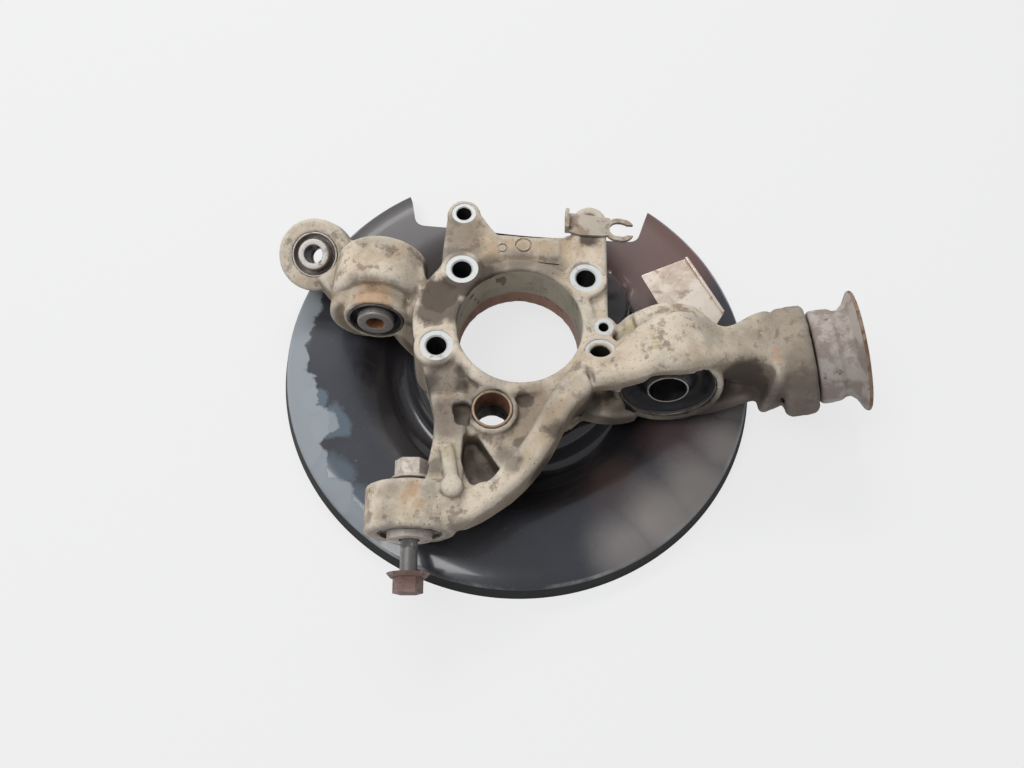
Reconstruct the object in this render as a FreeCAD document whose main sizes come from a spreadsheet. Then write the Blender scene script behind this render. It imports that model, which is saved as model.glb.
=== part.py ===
import FreeCAD, Part
import math
import os
import Sketcher
from FreeCAD import Placement, Rotation, Vector

# Rear wheel hub carrier with its brake dust shield, in millimetres.
# The hub axis is Z and points inboard. Z = 0 is the casting's outboard face, where the hub seats.
# X and Y lie in the plane of the wheel, and the caliper lugs are at +Y.

doc = FreeCAD.newDocument("HubCarrier")
sheet = doc.addObject("Spreadsheet::Sheet", "Sizes")

SIZES = [
    ("bore_radius", 42.0, "hub bore"),
    ("bore_chamfer", 1.2, "lead-in at the inboard edge of the hub bore"),
    ("ring_height", 45.5, "depth of the casting round the hub bore"),
    ("ring_wall", 9.0, "wall round the hub bore"),
    ("bolt_circle_radius", 57.5, "circle of the four hub bolts"),
    ("bolt_hole_radius", 6.75, "clearance hole for an M12 hub bolt"),
    ("bolt_boss_radius", 15.0, "boss of a hub bolt"),
    ("bolt_boss_top", 46.5, "height of the hub bolt bosses"),
    ("spot_face_radius", 11.2, "machined seat of a hub bolt"),
    ("spot_face_depth", 0.7, "depth of the machined seats"),
    ("web_top", 43.0, "top of the webs between the bosses"),
    ("web_bottom", 4.0, "underside of the webs between the bosses"),
    ("cast_edge", 3.0, "rounding of the cast edges"),
    ("sensor_boss_radius", 9.0, "boss for the wheel speed sensor's screw"),
    ("sensor_boss_top", 45.0, "height of the sensor screw's boss"),
    ("sensor_hole_radius", 3.3, "tapped hole for the sensor's screw"),
    ("sensor_hole_depth", 18.0, "depth of the tapped hole"),
    ("lug_radius", 12.0, "rounded tip of a caliper lug"),
    ("lug_root_radius", 14.4, "half the width of the left lug at its root"),
    ("lug_hole_radius", 5.3, "caliper bolt hole"),
    ("lug_seat_radius", 8.6, "machined seat round a caliper bolt hole"),
    ("lug_top", 39.5, "inboard face of the caliper lugs"),
    ("lug_thickness", 24.0, "thickness of the caliper lugs"),
    ("bar_top", 39.3, "top of the bar between the lugs"),
    ("bar_pad", 2.0, "height of the raised pad on the bar"),
    ("bar_thickness", 26.0, "thickness of the bar"),
    ("column_top", 41.5, "top of the flat column under the right lug"),
    ("liner_radius", 13.2, "outside of the steel liner in the lower bore"),
    ("liner_wall", 1.8, "wall of the liner"),
    ("liner_length", 21.5, "length of the liner"),
    ("liner_ledge", 1.0, "ledge that the liner stands on"),
    ("lower_boss_radius", 16.8, "boss of the lower bore"),
    ("lower_boss_top", 43.0, "height of the lower bore's boss"),
    ("lower_boss_bottom", 5.0, "underside of the lower bore's boss"),
    ("centre_web_top", 38.0, "top of the web round the lower bore"),
    ("centre_web_bottom", 16.0, "underside of the web round the lower bore"),
    ("pocket_floor", 19.0, "floor of the triangular cast pocket"),
    ("side_pocket_depth", 3.0, "depth of the shallow pocket beside the lower bore"),
    ("limb_width", 23.0, "width of the two arms that carry the toe link eye"),
    ("press_gap", 0.05, "radial room between pressed pieces in the model"),
    ("under_clearance", -6.3, "lowest plane that the casting reaches"),
    ("camber_eye_radius", 25.8, "camber link eye"),
    ("camber_depth", 24.0, "length of the camber link eye"),
    ("camber_sleeve_radius", 15.9, "outer sleeve of the camber link bush"),
    ("camber_inner_radius", 10.8, "inner sleeve of the camber link bush"),
    ("camber_hole_radius", 6.4, "bolt hole of the camber link bush"),
    ("camber_proud", 4.0, "how far its inner sleeve stands out at each end"),
    ("camber_recess", 0.0, "how far its outer sleeve lies inside the eye"),
    ("upper_eye_radius", 32.0, "upper arm housing"),
    ("upper_depth", 51.0, "length of the upper arm housing with its nose"),
    ("upper_nose_radius", 22.0, "nose of the upper arm housing"),
    ("upper_nose_length", 13.0, "length of the nose"),
    ("upper_sleeve_radius", 18.8, "outer sleeve of the upper arm bush"),
    ("upper_inner_radius", 12.4, "inner sleeve of the upper arm bush"),
    ("upper_hole_radius", 6.1, "bolt hole of the upper arm bush"),
    ("upper_proud", 2.4, "how far its inner sleeve stands out at each end"),
    ("upper_recess", 0.0, "how far its outer sleeve lies inside the housing"),
    ("toe_eye_radius", 28.8, "toe link eye"),
    ("toe_depth", 30.0, "length of the toe link eye"),
    ("toe_sleeve_radius", 20.0, "outer sleeve of the toe link bush"),
    ("toe_inner_radius", 14.2, "inner sleeve of the toe link bush"),
    ("toe_hole_radius", 6.3, "bolt hole of the toe link bush"),
    ("toe_proud", 3.4, "how far its inner sleeve stands out at each end"),
    ("toe_recess", 0.0, "how far its outer sleeve lies inside the eye"),
    ("lower_eye_radius", 36.5, "lower arm housing"),
    ("lower_depth", 45.0, "length of the lower arm housing"),
    ("lower_sleeve_radius", 32.0, "outer sleeve of the lower arm bush"),
    ("lower_inner_radius", 13.6, "inner sleeve of the lower arm bush"),
    ("lower_hole_radius", 12.4, "open bore of the lower arm bush"),
    ("lower_proud", 2.0, "how far its inner sleeve stands out at each end"),
    ("lower_recess", 2.5, "how far its outer sleeve lies inside the housing"),
    ("trailing_eye_radius", 37.0, "trailing arm eye"),
    ("trailing_depth", 22.0, "length of the trailing arm eye"),
    ("trailing_sleeve_radius", 27.5, "outer sleeve of the trailing arm bush"),
    ("trailing_inner_radius", 12.0, "inner sleeve of the trailing arm bush"),
    ("trailing_hole_radius", 7.1, "bolt hole of the trailing arm bush"),
    ("trailing_proud", 27.0, "how far its inner sleeve stands out at each end"),
    ("trailing_recess", 0.0, "how far its outer sleeve lies inside the eye"),
    ("collar_radius", 31.5, "rubber collar outside the trailing arm eye"),
    ("collar_gap", 1.2, "groove between the eye and the collar"),
    ("waist_radius", 28.8, "waist between the collar and the bell mouth"),
    ("waist_at", 20.0, "distance of the waist from the eye"),
    ("bell_radius", 40.5, "rim of the bell mouth"),
    ("bell_end_at", 32.0, "distance of the bell mouth's end from the eye"),
    ("bell_rim", 2.2, "thickness of the bell mouth's rim"),
    ("bell_mouth_radius", 22.0, "inside of the bell mouth's root"),
    ("sleeve_wall", 1.3, "wall of the outer sleeves"),
    ("sleeve_chamfer", 0.5, "bevel on the sleeves' ends"),
    ("rubber_chamfer", 0.9, "rounded lip of the rubbers"),
    ("rubber_inset", 2.5, "how far the rubber lies inside its sleeve"),
    ("shank_radius", 5.45, "plain shank of the toe link bolt"),
    ("thread_radius", 5.9, "threaded end of the toe link bolt"),
    ("thread_length", 34.0, "length of the threaded end"),
    ("thread_inset", 1.0, "how far the thread ends inside the nut"),
    ("bolt_standoff", 24.0, "distance from the eye to the loose bolt's head"),
    ("bolt_flange_radius", 13.6, "flange of the bolt head and the nut"),
    ("bolt_flange_height", 2.6, "height of these flanges"),
    ("bolt_hex", 16.4, "width across the flats of the bolt head"),
    ("bolt_head_height", 9.4, "height of the bolt head above its flange"),
    ("nut_hex", 18.6, "width across the flats of the nut"),
    ("nut_height", 10.5, "height of the nut above its flange"),
    ("nut_gap", 0.1, "room between the nut's thread and the bolt"),
    ("nut_standoff", 1.6, "distance from the inner sleeve to the nut"),
    ("shield_radius", 165.0, "upper edge of the dust shield"),
    ("shield_sheet", 1.2, "sheet thickness of the dust shield"),
    ("shield_edge_z", -11.0, "height of the shield's upper edge"),
    ("shield_field_z", -8.0, "height of the shield's flat field"),
    ("shield_shoulder_radius", 154.0, "outer shoulder of the flat field"),
    ("shield_bend_radius", 114.0, "inner shoulder of the flat field"),
    ("shield_step_radius", 96.5, "edge of the step into the trough"),
    ("shield_step_z", -14.0, "height of that edge"),
    ("trough_outer_radius", 89.0, "outside of the trough's floor"),
    ("trough_inner_radius", 80.0, "inside of the trough's floor"),
    ("trough_z", -18.0, "floor of the trough"),
    ("seat_radius", 74.0, "flat seat that the casting stands on"),
    ("rim_drop", 12.5, "depth of the shield's outer rim"),
    ("rim_flare", 3.2, "how far the rim leans outwards"),
    ("notch_overrun", 1.8, "how far the notch's cutter passes the rim"),
    ("flange_inner", 23.0, "width of the hub flange round the bore at its top"),
    ("flange_outer", 26.0, "width of the hub flange round the bore at its foot"),
    ("flange_height", 8.0, "height of the hub flange"),
    ("lobe_radius", 31.0, "round lobe of the shield's seat"),
    ("lobe_slope", 5.0, "how far the lobe's flank leans outwards"),
    ("shield_opening_radius", 45.0, "opening of the shield round the hub bore"),
    ("shield_bolt_clearance", 0.6, "room round the hub bolts in the shield"),
    ("drain_radius", 15.5, "opening of the shield under the lower bore"),
    ("screw_circle_radius", 59.0, "circle of the shield's screws"),
    ("screw_radius", 2.5, "shank of a shield screw"),
    ("screw_head_radius", 4.6, "head of a shield screw"),
    ("screw_head_height", 2.6, "height of that head"),
    ("screw_depth", 7.0, "how far a shield screw reaches into the casting"),
    ("bracket_sheet", 2.5, "sheet thickness of the hose bracket"),
    ("bracket_depth", 15.0, "distance from the right lug's hole to the bracket's front edge"),
    ("bracket_notch", 6.0, "depth of the cast notch under the bracket's lip"),
    ("fork_inner_radius", 5.7, "hose seat of the bracket's fork"),
    ("fork_width", 3.3, "width of the fork's prongs"),
    ("fork_reach", 3.0, "straight part of the fork's slot"),
    ("bracket_tab_height", 6.0, "upturned tab of the hose bracket"),
    ("bracket_lip_height", 5.0, "lip under the hose bracket"),
    ("bracket_screw_radius", 5.1, "screw that holds the hose bracket"),
    ("bracket_head_radius", 8.0, "head of that screw"),
    ("bracket_head_height", 6.0, "height of that head"),
    ("plate_sheet", 1.5, "thickness of the label plate"),
    ("plate_z", 15.0, "height of the label plate's seat"),
    ("plate_lip", 2.2, "height of the turned-up edge of the label plate"),
]

for row, (alias, value, meaning) in enumerate(SIZES, start=1):
    sheet.set(f"A{row}", alias)
    sheet.set(f"B{row}", str(value))
    sheet.set(f"C{row}", meaning)
    sheet.setAlias(f"B{row}", alias)
doc.recompute()


def size(alias):
    """Read one driving size from the sheet."""
    return float(sheet.get(alias))


# Places on the casting, measured from the hub axis
BOLT_ANGLES = {"north_west": 135.5, "north_east": 40.4, "west": 199.0, "east": 339.3}
SCREW_ANGLES = (90.0, 175.0, 300.0)
SENSOR_BOSS = Vector(56.0, 0.5, 0)
LEFT_LUG = Vector(-42.8, 90.8, 0)
RIGHT_LUG = Vector(46.8, 89.5, 0)
LOWER_BORE = Vector(-15.6, -61.1, 0)
LOBE_CENTRE = Vector(47.0, 45.0, 0)

# Eyes: a point on the axis and the direction that the eye's visible end faces
CAMBER_MIDDLE = Vector(-146.9, 63.2, 18.0)
CAMBER_AXIS = Vector(0, -0.468, 0.884).normalize()
UPPER_FACE = Vector(-98.5, 6.4, 29.0)
UPPER_AXIS = Vector(0, -0.9945, 0.1045).normalize()
TOE_FACE = Vector(-63.5, -141.2, 24.0)
TOE_AXIS = Vector(0.047, -0.9965, -0.07).normalize()
LOWER_FACE = Vector(99.4, -39.6, 34.6)
LOWER_AXIS = Vector(0, -0.978, 0.208).normalize()
TRAILING_FACE = Vector(197.3, -9.4, 31.0)
TRAILING_AXIS = Vector(0.955, 0.101, 0.279).normalize()

UP = Vector(0, 0, 1)

CAMBER_FACE = CAMBER_MIDDLE + CAMBER_AXIS * size("camber_depth") / 2
EYES = {
    "camber": (CAMBER_FACE, CAMBER_AXIS),
    "upper": (UPPER_FACE, UPPER_AXIS),
    "toe": (TOE_FACE, TOE_AXIS),
    "lower": (LOWER_FACE, LOWER_AXIS),
    "trailing": (TRAILING_FACE, TRAILING_AXIS),
}


def turn_to(axis):
    """Rotation that takes Z to the given direction."""
    return Rotation(UP, axis)


def polar(radius, degrees, z=0.0):
    """Point at a radius and an angle about the hub axis."""
    angle = math.radians(degrees)
    return Vector(radius * math.cos(angle), radius * math.sin(angle), z)


def cylinder(base, radius, height, axis=UP):
    """Round bar from a base point along an axis."""
    return Part.makeCylinder(radius, height, base, axis)


def rounded_cylinder(base, radius, height, edge, axis=UP):
    """Round bar whose two end edges are rounded."""
    bar = cylinder(base, radius, height, axis)
    rims = [e for e in bar.Edges if isinstance(e.Curve, Part.Circle)]
    return bar.makeFillet(edge, rims)


def boss(point, radius, bottom, top):
    """Upright cast boss with slight draft and a rounded top edge."""
    draft = 0.035 * (top - bottom)
    base = Vector(point.x, point.y, bottom)
    cone = Part.makeCone(radius + draft, radius, top - bottom, base, UP)
    rims = [e for e in cone.Edges if isinstance(e.Curve, Part.Circle)]
    upper = [e for e in rims if e.Curve.Center.z > (top + bottom) / 2]
    return cone.makeFillet(1.2, upper)


def rounded_section(centre, heading, width, height, corner):
    """Closed rounded rectangle, upright and square to a level heading."""
    side = Vector(heading.y, -heading.x, 0).normalize()
    half_w = width / 2
    half_h = height / 2
    corner = min(corner, 0.9 * half_w, 0.9 * half_h)

    def at(across, up):
        return centre + side * across + UP * up

    inner_w = half_w - corner
    inner_h = half_h - corner
    bend = corner * (1 - math.sqrt(0.5))
    corners = ((1, 1), (1, -1), (-1, -1), (-1, 1))
    edges = []
    for index, (sx, sy) in enumerate(corners):
        first = at(sx * inner_w, sy * half_h)
        middle = at(sx * (half_w - bend), sy * (half_h - bend))
        last = at(sx * half_w, sy * inner_h)
        if sx * sy < 0:
            first, last = last, first
        edges.append(Part.Arc(first, middle, last).toShape())
        nx, ny = corners[(index + 1) % 4]
        follow = at(nx * half_w, ny * inner_h) if sx * sy > 0 else at(nx * inner_w, ny * half_h)
        edges.append(Part.LineSegment(last, follow).toShape())
    return Part.Wire(Part.__sortEdges__(edges))


def limb(stations, corner, ruled=False):
    """Cast arm through stations of (x, y, bottom, top, width)."""
    points = [Vector(x, y, 0) for x, y, _bottom, _top, _width in stations]
    wires = []
    for index, (x, y, bottom, top, width) in enumerate(stations):
        before = points[max(index - 1, 0)]
        after = points[min(index + 1, len(points) - 1)]
        centre = Vector(x, y, (bottom + top) / 2)
        wires.append(rounded_section(centre, after - before, width, top - bottom, corner))
    return Part.makeLoft(wires, True, ruled)


def plate(corners, bottom, top, corner, edge=0.0):
    """Flat piece with rounded corners and, if asked, a rounded top edge."""
    points = [Vector(x, y, bottom) for x, y in corners]
    face = Part.Face(Part.makePolygon(points + points[:1]))
    solid = face.extrude(Vector(0, 0, top - bottom))
    if corner:
        upright = [e for e in solid.Edges if abs(e.Vertexes[0].X - e.Vertexes[-1].X) < 1e-6
                   and abs(e.Vertexes[0].Y - e.Vertexes[-1].Y) < 1e-6]
        solid = solid.makeFillet(corner, upright)
    if edge:
        upper = [e for e in solid.Edges if e.BoundBox.ZMin > top - 1e-6]
        solid = solid.makeFillet(edge, upper)
    return solid


def add_feature(label, shape):
    """Put a finished shape into the document as a named piece."""
    piece = doc.addObject("Part::Feature", label)
    piece.Label = label
    piece.Shape = shape
    piece.Placement = Placement(Vector(0, 0, 0), Rotation())
    return piece


# Knuckle casting
def hub_ring():
    """Ring round the hub bore, with the four bolt bosses and the webs that tie them."""
    bore = size("bore_radius")
    circle = size("bolt_circle_radius")
    web_top = size("web_top")
    web_bottom = size("web_bottom")
    solids = [rounded_cylinder(Vector(0, 0, 0), bore + size("ring_wall"), size("ring_height"), 2.0)]
    bolts = {name: polar(circle, angle) for name, angle in BOLT_ANGLES.items()}
    for point in bolts.values():
        solids.append(boss(point, size("bolt_boss_radius"), 0.0, size("bolt_boss_top")))
    sensor = boss(SENSOR_BOSS, size("sensor_boss_radius"), web_bottom + 4.0, size("sensor_boss_top"))
    solids.append(sensor)
    west = bolts["west"]
    north_west = bolts["north_west"]
    width = 1.5 * size("bolt_boss_radius")
    solids.append(limb([
        (north_west.x, north_west.y, web_bottom, web_top + 1.0, width + 6.0),
        (-57.5, 13.0, web_bottom + 0.5, web_top, width + 5.0),
        (west.x, west.y, web_bottom + 1.0, web_top, width + 4.0),
    ], size("cast_edge")))
    flange = Part.makeCone(bore + size("flange_outer"), bore + size("flange_inner"),
                           size("flange_height"))
    solids.append(flange)
    return solids


def caliper_lugs():
    """Two lugs for the brake caliper, the flat column of the right one and the bar between."""
    top = size("lug_top")
    bottom = top - size("lug_thickness")
    root = size("lug_root_radius")
    tip = size("lug_radius")
    north_west = polar(size("bolt_circle_radius"), BOLT_ANGLES["north_west"])
    left = limb([
        (north_west.x, north_west.y - 3.0, bottom - 2.0, top + 1.5, 2 * root),
        (-42.6, 56.0, bottom - 1.0, top, 2 * root - 2.0),
        (-43.0, 72.0, bottom, top - 0.4, 2 * tip + 1.2),
        (LEFT_LUG.x, LEFT_LUG.y + 0.2, bottom, top - 0.3, 2 * tip - 1.5),
    ], 4.0)
    left_tip = rounded_cylinder(Vector(LEFT_LUG.x, LEFT_LUG.y, bottom), tip, top - bottom, 3.2)
    right_tip = rounded_cylinder(Vector(RIGHT_LUG.x, RIGHT_LUG.y, bottom), tip, top - bottom, 3.2)
    gusset = plate([(LEFT_LUG.x + 4.0, LEFT_LUG.y + 5.0), (LEFT_LUG.x + tip, LEFT_LUG.y + 0.5),
                    (-23.8, 81.4), (-14.5, 70.0), (-14.5, 58.0), (LEFT_LUG.x + 4.0, 58.0)],
                   bottom, top - 0.5, 2.5, 1.5)
    column_top = size("column_top")
    front = RIGHT_LUG.y - size("bracket_depth")
    column = plate([(33.8, front), (35.0, 22.0), (46.0, -14.0), (60.0, -12.0), (58.6, front)],
                   bottom, column_top, 3.0, 1.4)
    seat = plate([(RIGHT_LUG.x - tip, RIGHT_LUG.y), (RIGHT_LUG.x - tip, front - 8.0),
                  (RIGHT_LUG.x + tip, front - 8.0), (RIGHT_LUG.x + tip, RIGHT_LUG.y)],
                 bottom, top, 0.0)
    bar_top = size("bar_top")
    bar_bottom = bar_top - size("bar_thickness")
    bar = plate([(-38.0, 40.0), (-38.0, 70.0), (-19.0, 74.2), (12.0, 73.2), (27.5, 74.2),
                 (40.0, 80.2), (40.0, 40.0)], bar_bottom, bar_top, 3.0, 1.6)
    pad_top = bar_top + size("bar_pad")
    pad = plate([(-18.5, 55.7), (-17.5, 71.4), (26.0, 71.0), (26.0, 55.2)],
                bar_top - 6.0, pad_top, 5.0, 1.0)
    return [left, left_tip, right_tip, gusset, column, seat, bar, pad]


def lower_arms():
    """The two arms to the toe link eye, with the web and the lower bore between them."""
    west = polar(size("bolt_circle_radius"), BOLT_ANGLES["west"])
    width = size("limb_width")
    edge = size("cast_edge")
    left = limb([
        (west.x + 2.0, west.y, 4.0, 42.0, width + 4.0),
        (-45.5, -45.0, 2.0, 42.5, width + 2.0),
        (-42.0, -72.0, 0.0, 44.0, width - 2.0),
        (-43.0, -100.0, -4.0, 45.0, width),
        (-46.0, -126.0, -5.0, 46.0, width + 6.0),
    ], edge + 1.0)
    diagonal = limb([
        (66.0, -34.0, 36.0, 60.0, width - 1.0),
        (42.0, -38.0, 26.0, 57.5, width - 2.0),
        (30.0, -55.5, 22.0, 56.0, width - 5.0),
        (21.5, -71.5, 20.0, 54.5, width - 6.0),
        (14.0, -86.0, 18.0, 53.0, width - 6.0),
        (6.2, -97.0, 17.0, 51.0, width - 6.0),
        (-1.8, -106.0, 17.0, 49.0, width - 5.5),
        (-11.5, -114.6, 18.0, 47.0, width - 5.0),
        (-22.0, -122.0, 19.0, 45.0, width - 4.0),
        (-33.0, -126.5, 20.0, 43.5, width - 2.0),
        (-50.0, -127.0, 18.0, 42.0, width - 2.0),
    ], edge + 2.0)
    web = plate([(-56.0, -22.0), (-50.0, -60.0), (-46.0, -100.0), (-30.0, -124.0), (-14.0, -116.0),
                 (22.0, -72.0), (50.0, -36.0), (44.0, -14.0), (0.0, -36.0), (-40.0, -10.0)],
                size("centre_web_bottom"), size("centre_web_top"), 3.0, 1.5)
    shoulder = limb([(46.0, -38.0, 24.0, 52.0, 17.0), (27.0, -50.0, 22.0, 47.0, 22.0),
                     (8.0, -61.0, 22.0, size("centre_web_top") + 0.6, 26.0)], edge + 1.0)
    lower = boss(LOWER_BORE, size("lower_boss_radius"), size("lower_boss_bottom"),
                 size("lower_boss_top"))
    nub = rounded_cylinder(Vector(-37.6, -116.5, 30.0), 7.0, 24.0, 4.0)
    spur = limb([(-44.0, -88.0, 36.0, 49.0, 10.0), (-40.0, -102.0, 38.0, 51.0, 9.0),
                 (-38.2, -114.0, 41.0, 51.5, 9.0)], 3.5)
    return [left, diagonal, shoulder, web, lower, nub, spur]


def camber_and_upper_eyes():
    """Camber link eye and upper arm housing on the left of the casting."""
    radius = size("upper_eye_radius")
    nose = size("upper_nose_length")
    length = size("upper_depth") - nose
    front = UPPER_FACE - UPPER_AXIS * nose
    housing = rounded_cylinder(front, radius, length, 5.0, UPPER_AXIS * -1)
    nose_bar = rounded_cylinder(UPPER_FACE, size("upper_nose_radius"), nose + 8.0, 1.6,
                                UPPER_AXIS * -1)
    middle = front - UPPER_AXIS * (length / 2)
    stem = limb([
        (middle.x, middle.y - 4.0, 0.0, 44.0, length - 14.0),
        (-74.0, 19.0, 2.0, 34.0, 26.0),
        (-52.0, 12.0, 4.0, 33.0, 26.0),
    ], 5.0)
    flank = limb([
        (-74.0, 46.0, 2.0, 42.0, 12.0),
        (-69.0, 22.0, 2.0, 40.0, 14.0),
        (-64.0, -2.0, 4.0, 38.0, 16.0),
    ], 4.0)
    foot = limb([(-84.0, 24.0, -2.0, 24.0, 26.0), (-66.0, 2.0, 0.0, 24.0, 24.0),
                 (-50.0, -12.0, 2.0, 28.0, 22.0)], 4.0)
    half = size("camber_depth") / 2
    base = CAMBER_MIDDLE - CAMBER_AXIS * half
    eye = rounded_cylinder(base, size("camber_eye_radius"), 2 * half, 2.4, CAMBER_AXIS)
    link = limb([
        (CAMBER_MIDDLE.x + 14.0, CAMBER_MIDDLE.y - 4.0, 6.0, 26.0, 40.0),
        (-114.0, 44.0, 2.0, 28.0, 46.0),
        (-94.0, 34.0, 0.0, 30.0, 46.0),
    ], 4.0)
    shift = Vector(-9.0, 0, -9.0)
    skirt = rounded_cylinder(UPPER_FACE - UPPER_AXIS * (0.5 * nose) + shift, 0.78 * radius,
                             nose + 8.0, 4.0, UPPER_AXIS * -1)
    return [housing, nose_bar, stem, flank, foot, eye, link, skirt]


def toe_eye():
    """Toe link eye at the end of the two lower arms."""
    base = TOE_FACE - TOE_AXIS * size("toe_depth")
    radius = size("toe_eye_radius")
    eye = rounded_cylinder(base, radius, size("toe_depth"), 2.4, TOE_AXIS)
    return [eye]


def lower_and_trailing_eyes():
    """Lower arm housing, the beam over it and the trailing arm eye at its end."""
    back = LOWER_FACE - LOWER_AXIS * size("lower_depth")
    housing = rounded_cylinder(back, size("lower_eye_radius"), size("lower_depth"), 3.0,
                               LOWER_AXIS)
    beam = limb([
        (48.0, -38.0, 36.0, 57.0, 16.0),
        (61.0, -34.0, 40.0, 59.5, 20.0),
        (73.0, -28.0, 46.0, 64.0, 29.0),
        (86.0, -22.5, 54.0, 69.0, 37.0),
        (99.0, -20.0, 56.0, 72.5, 42.0),
        (118.0, -16.0, 50.0, 68.5, 39.0),
        (136.0, -14.5, 26.0, 61.5, 27.0),
        (151.0, -9.5, 14.0, 59.0, 33.0),
        (166.0, -9.0, 8.0, 57.0, 45.0),
        (184.0, -10.8, 2.0, 54.0, 48.0),
    ], 7.5)
    bridge = limb([
        (48.0, -36.0, 38.0, 58.0, 22.0),
        (62.0, -33.5, 42.0, 60.6, 25.0),
        (77.0, -27.0, 46.0, 65.4, 31.0),
    ], 7.0)
    saddle = limb([
        (76.0, -8.0, 36.0, 60.0, 30.0),
        (99.0, -4.0, 36.0, 66.0, 36.0),
        (120.0, -5.0, 34.0, 62.0, 30.0),
    ], 11.0)
    length = size("trailing_depth")
    start = TRAILING_FACE - TRAILING_AXIS * length
    eye = rounded_cylinder(start, size("trailing_eye_radius"), length, 4.5, TRAILING_AXIS)
    low_web = limb([
        (112.0, -28.0, 0.0, 20.0, 30.0),
        (140.0, -27.0, 2.0, 18.0, 24.0),
        (160.0, -22.0, 6.0, 18.0, 22.0),
        (186.0, -18.0, 8.0, 20.0, 30.0),
    ], 3.5)
    inner_web = limb([(46.0, -40.0, 4.0, 26.0, 22.0), (62.0, -44.0, 1.0, 20.0, 18.0),
                      (80.0, -40.0, 0.0, 16.0, 18.0)], 3.5)
    seat = plate([(98.0, -12.0), (100.0, 50.0), (120.0, 58.0), (136.0, 32.0), (130.0, -12.0)],
                 2.0, size("plate_z"), 4.0)
    return [housing, beam, bridge, saddle, eye, low_web, inner_web, seat]


def round_cutter(point, radius, bottom, top):
    """Upright hole between two heights."""
    return cylinder(Vector(point.x, point.y, bottom), radius, top - bottom)


def casting_cutters():
    """Every hole, seat and pocket of the casting."""
    below = -20.0
    above = 90.0
    bore = size("bore_radius")
    cutters = [cylinder(Vector(0, 0, below), bore, above - below)]
    for angle in SCREW_ANGLES:
        cutters.append(cylinder(polar(size("screw_circle_radius"), angle, below),
                                size("screw_radius") + size("press_gap"),
                                size("screw_depth") - below + 1.0))
    chamfer = size("bore_chamfer")
    rim = Vector(0, 0, size("ring_height") - chamfer)
    cutters.append(Part.makeCone(bore, bore + 12 * chamfer, 12 * chamfer, rim, UP))
    seat_z = size("bolt_boss_top") - size("spot_face_depth")
    for name, angle in BOLT_ANGLES.items():
        point = polar(size("bolt_circle_radius"), angle)
        cutters.append(round_cutter(point, size("bolt_hole_radius"), below, seat_z + 1.0))
        seat_base = Vector(point.x, point.y, seat_z)
        turn = 180.0 if name == "east" else 360.0
        cutters.append(Part.makeCylinder(size("spot_face_radius"), 6.0, seat_base, UP, turn))
        cutters.append(round_cutter(point, size("bolt_hole_radius") + 1.0, seat_z, above))
    sensor_top = size("sensor_boss_top")
    floor = sensor_top - size("sensor_hole_depth")
    cutters.append(round_cutter(SENSOR_BOSS, size("sensor_hole_radius"), floor, sensor_top + 1.0))
    lug_top = size("lug_top")
    lug_floor = lug_top - size("lug_thickness")
    for lug in (LEFT_LUG, RIGHT_LUG):
        cutters.append(round_cutter(lug, size("lug_hole_radius"), lug_floor - 12.0, lug_top + 6.0))
    seat = lug_top - size("spot_face_depth") - 0.3
    cutters.append(round_cutter(LEFT_LUG, size("lug_seat_radius"), seat, lug_top + 4.0))
    notch = Vector(RIGHT_LUG.x - 6.5, RIGHT_LUG.y - size("bracket_depth") - 0.5,
                   lug_top - size("bracket_notch"))
    cutters.append(Part.makeBox(15.0, 4.5, 12.0, notch))
    nut_room = TOE_FACE - TOE_AXIS * size("toe_depth")
    cutters.append(cylinder(nut_room, size("bolt_flange_radius") + 1.2, 26.0, TOE_AXIS * -1))
    liner = size("liner_radius") + size("press_gap")
    boss_top = size("lower_boss_top")
    liner_floor = boss_top - size("liner_length")
    cutters.append(round_cutter(LOWER_BORE, liner, liner_floor, boss_top + 10.0))
    cutters.append(round_cutter(LOWER_BORE, size("liner_radius") - size("liner_ledge"), below, above))
    cutters.append(plate([(-33.0, -78.5), (-24.5, -77.5), (-8.0, -101.5), (-14.5, -110.5),
                          (-27.0, -111.0), (-33.5, -97.0)], size("pocket_floor"), above, 2.5))
    web_top = size("centre_web_top")
    cutters.append(plate([(-42.0, -58.0), (-30.0, -57.0), (-30.0, -72.0), (-38.0, -74.0)],
                         web_top - size("side_pocket_depth"), above, 2.5))
    return cutters + eye_cutters()


def eye_cutters():
    """Bores of the five eyes, each a press seat for its bush."""
    cutters = []
    for name, (face, axis) in EYES.items():
        radius = size(f"{name}_sleeve_radius") + size("press_gap")
        front = 3.0 if name == "lower" else 12.0
        back = 0.3 if name == "trailing" else 12.0
        start = face + axis * front
        cutters.append(cylinder(start, radius, size(f"{name}_depth") + front + back, axis * -1))
    return cutters


def knuckle_casting():
    """The whole casting as one solid."""
    solids = hub_ring() + caliper_lugs() + lower_arms() + camber_and_upper_eyes()
    solids += toe_eye() + lower_and_trailing_eyes()
    body = solids[0].multiFuse(solids[1:])
    body = body.cut(casting_cutters())
    lowest = size("under_clearance")
    slab = Part.makeBox(600, 600, 100, Vector(-300, -300, lowest - 100))
    hub_room = cylinder(Vector(0, 0, -100), size("bore_radius") + 34.0, 100)
    body = body.cut([slab, hub_room])
    return body.removeSplitter()


add_feature("knuckle_casting", knuckle_casting())


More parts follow.
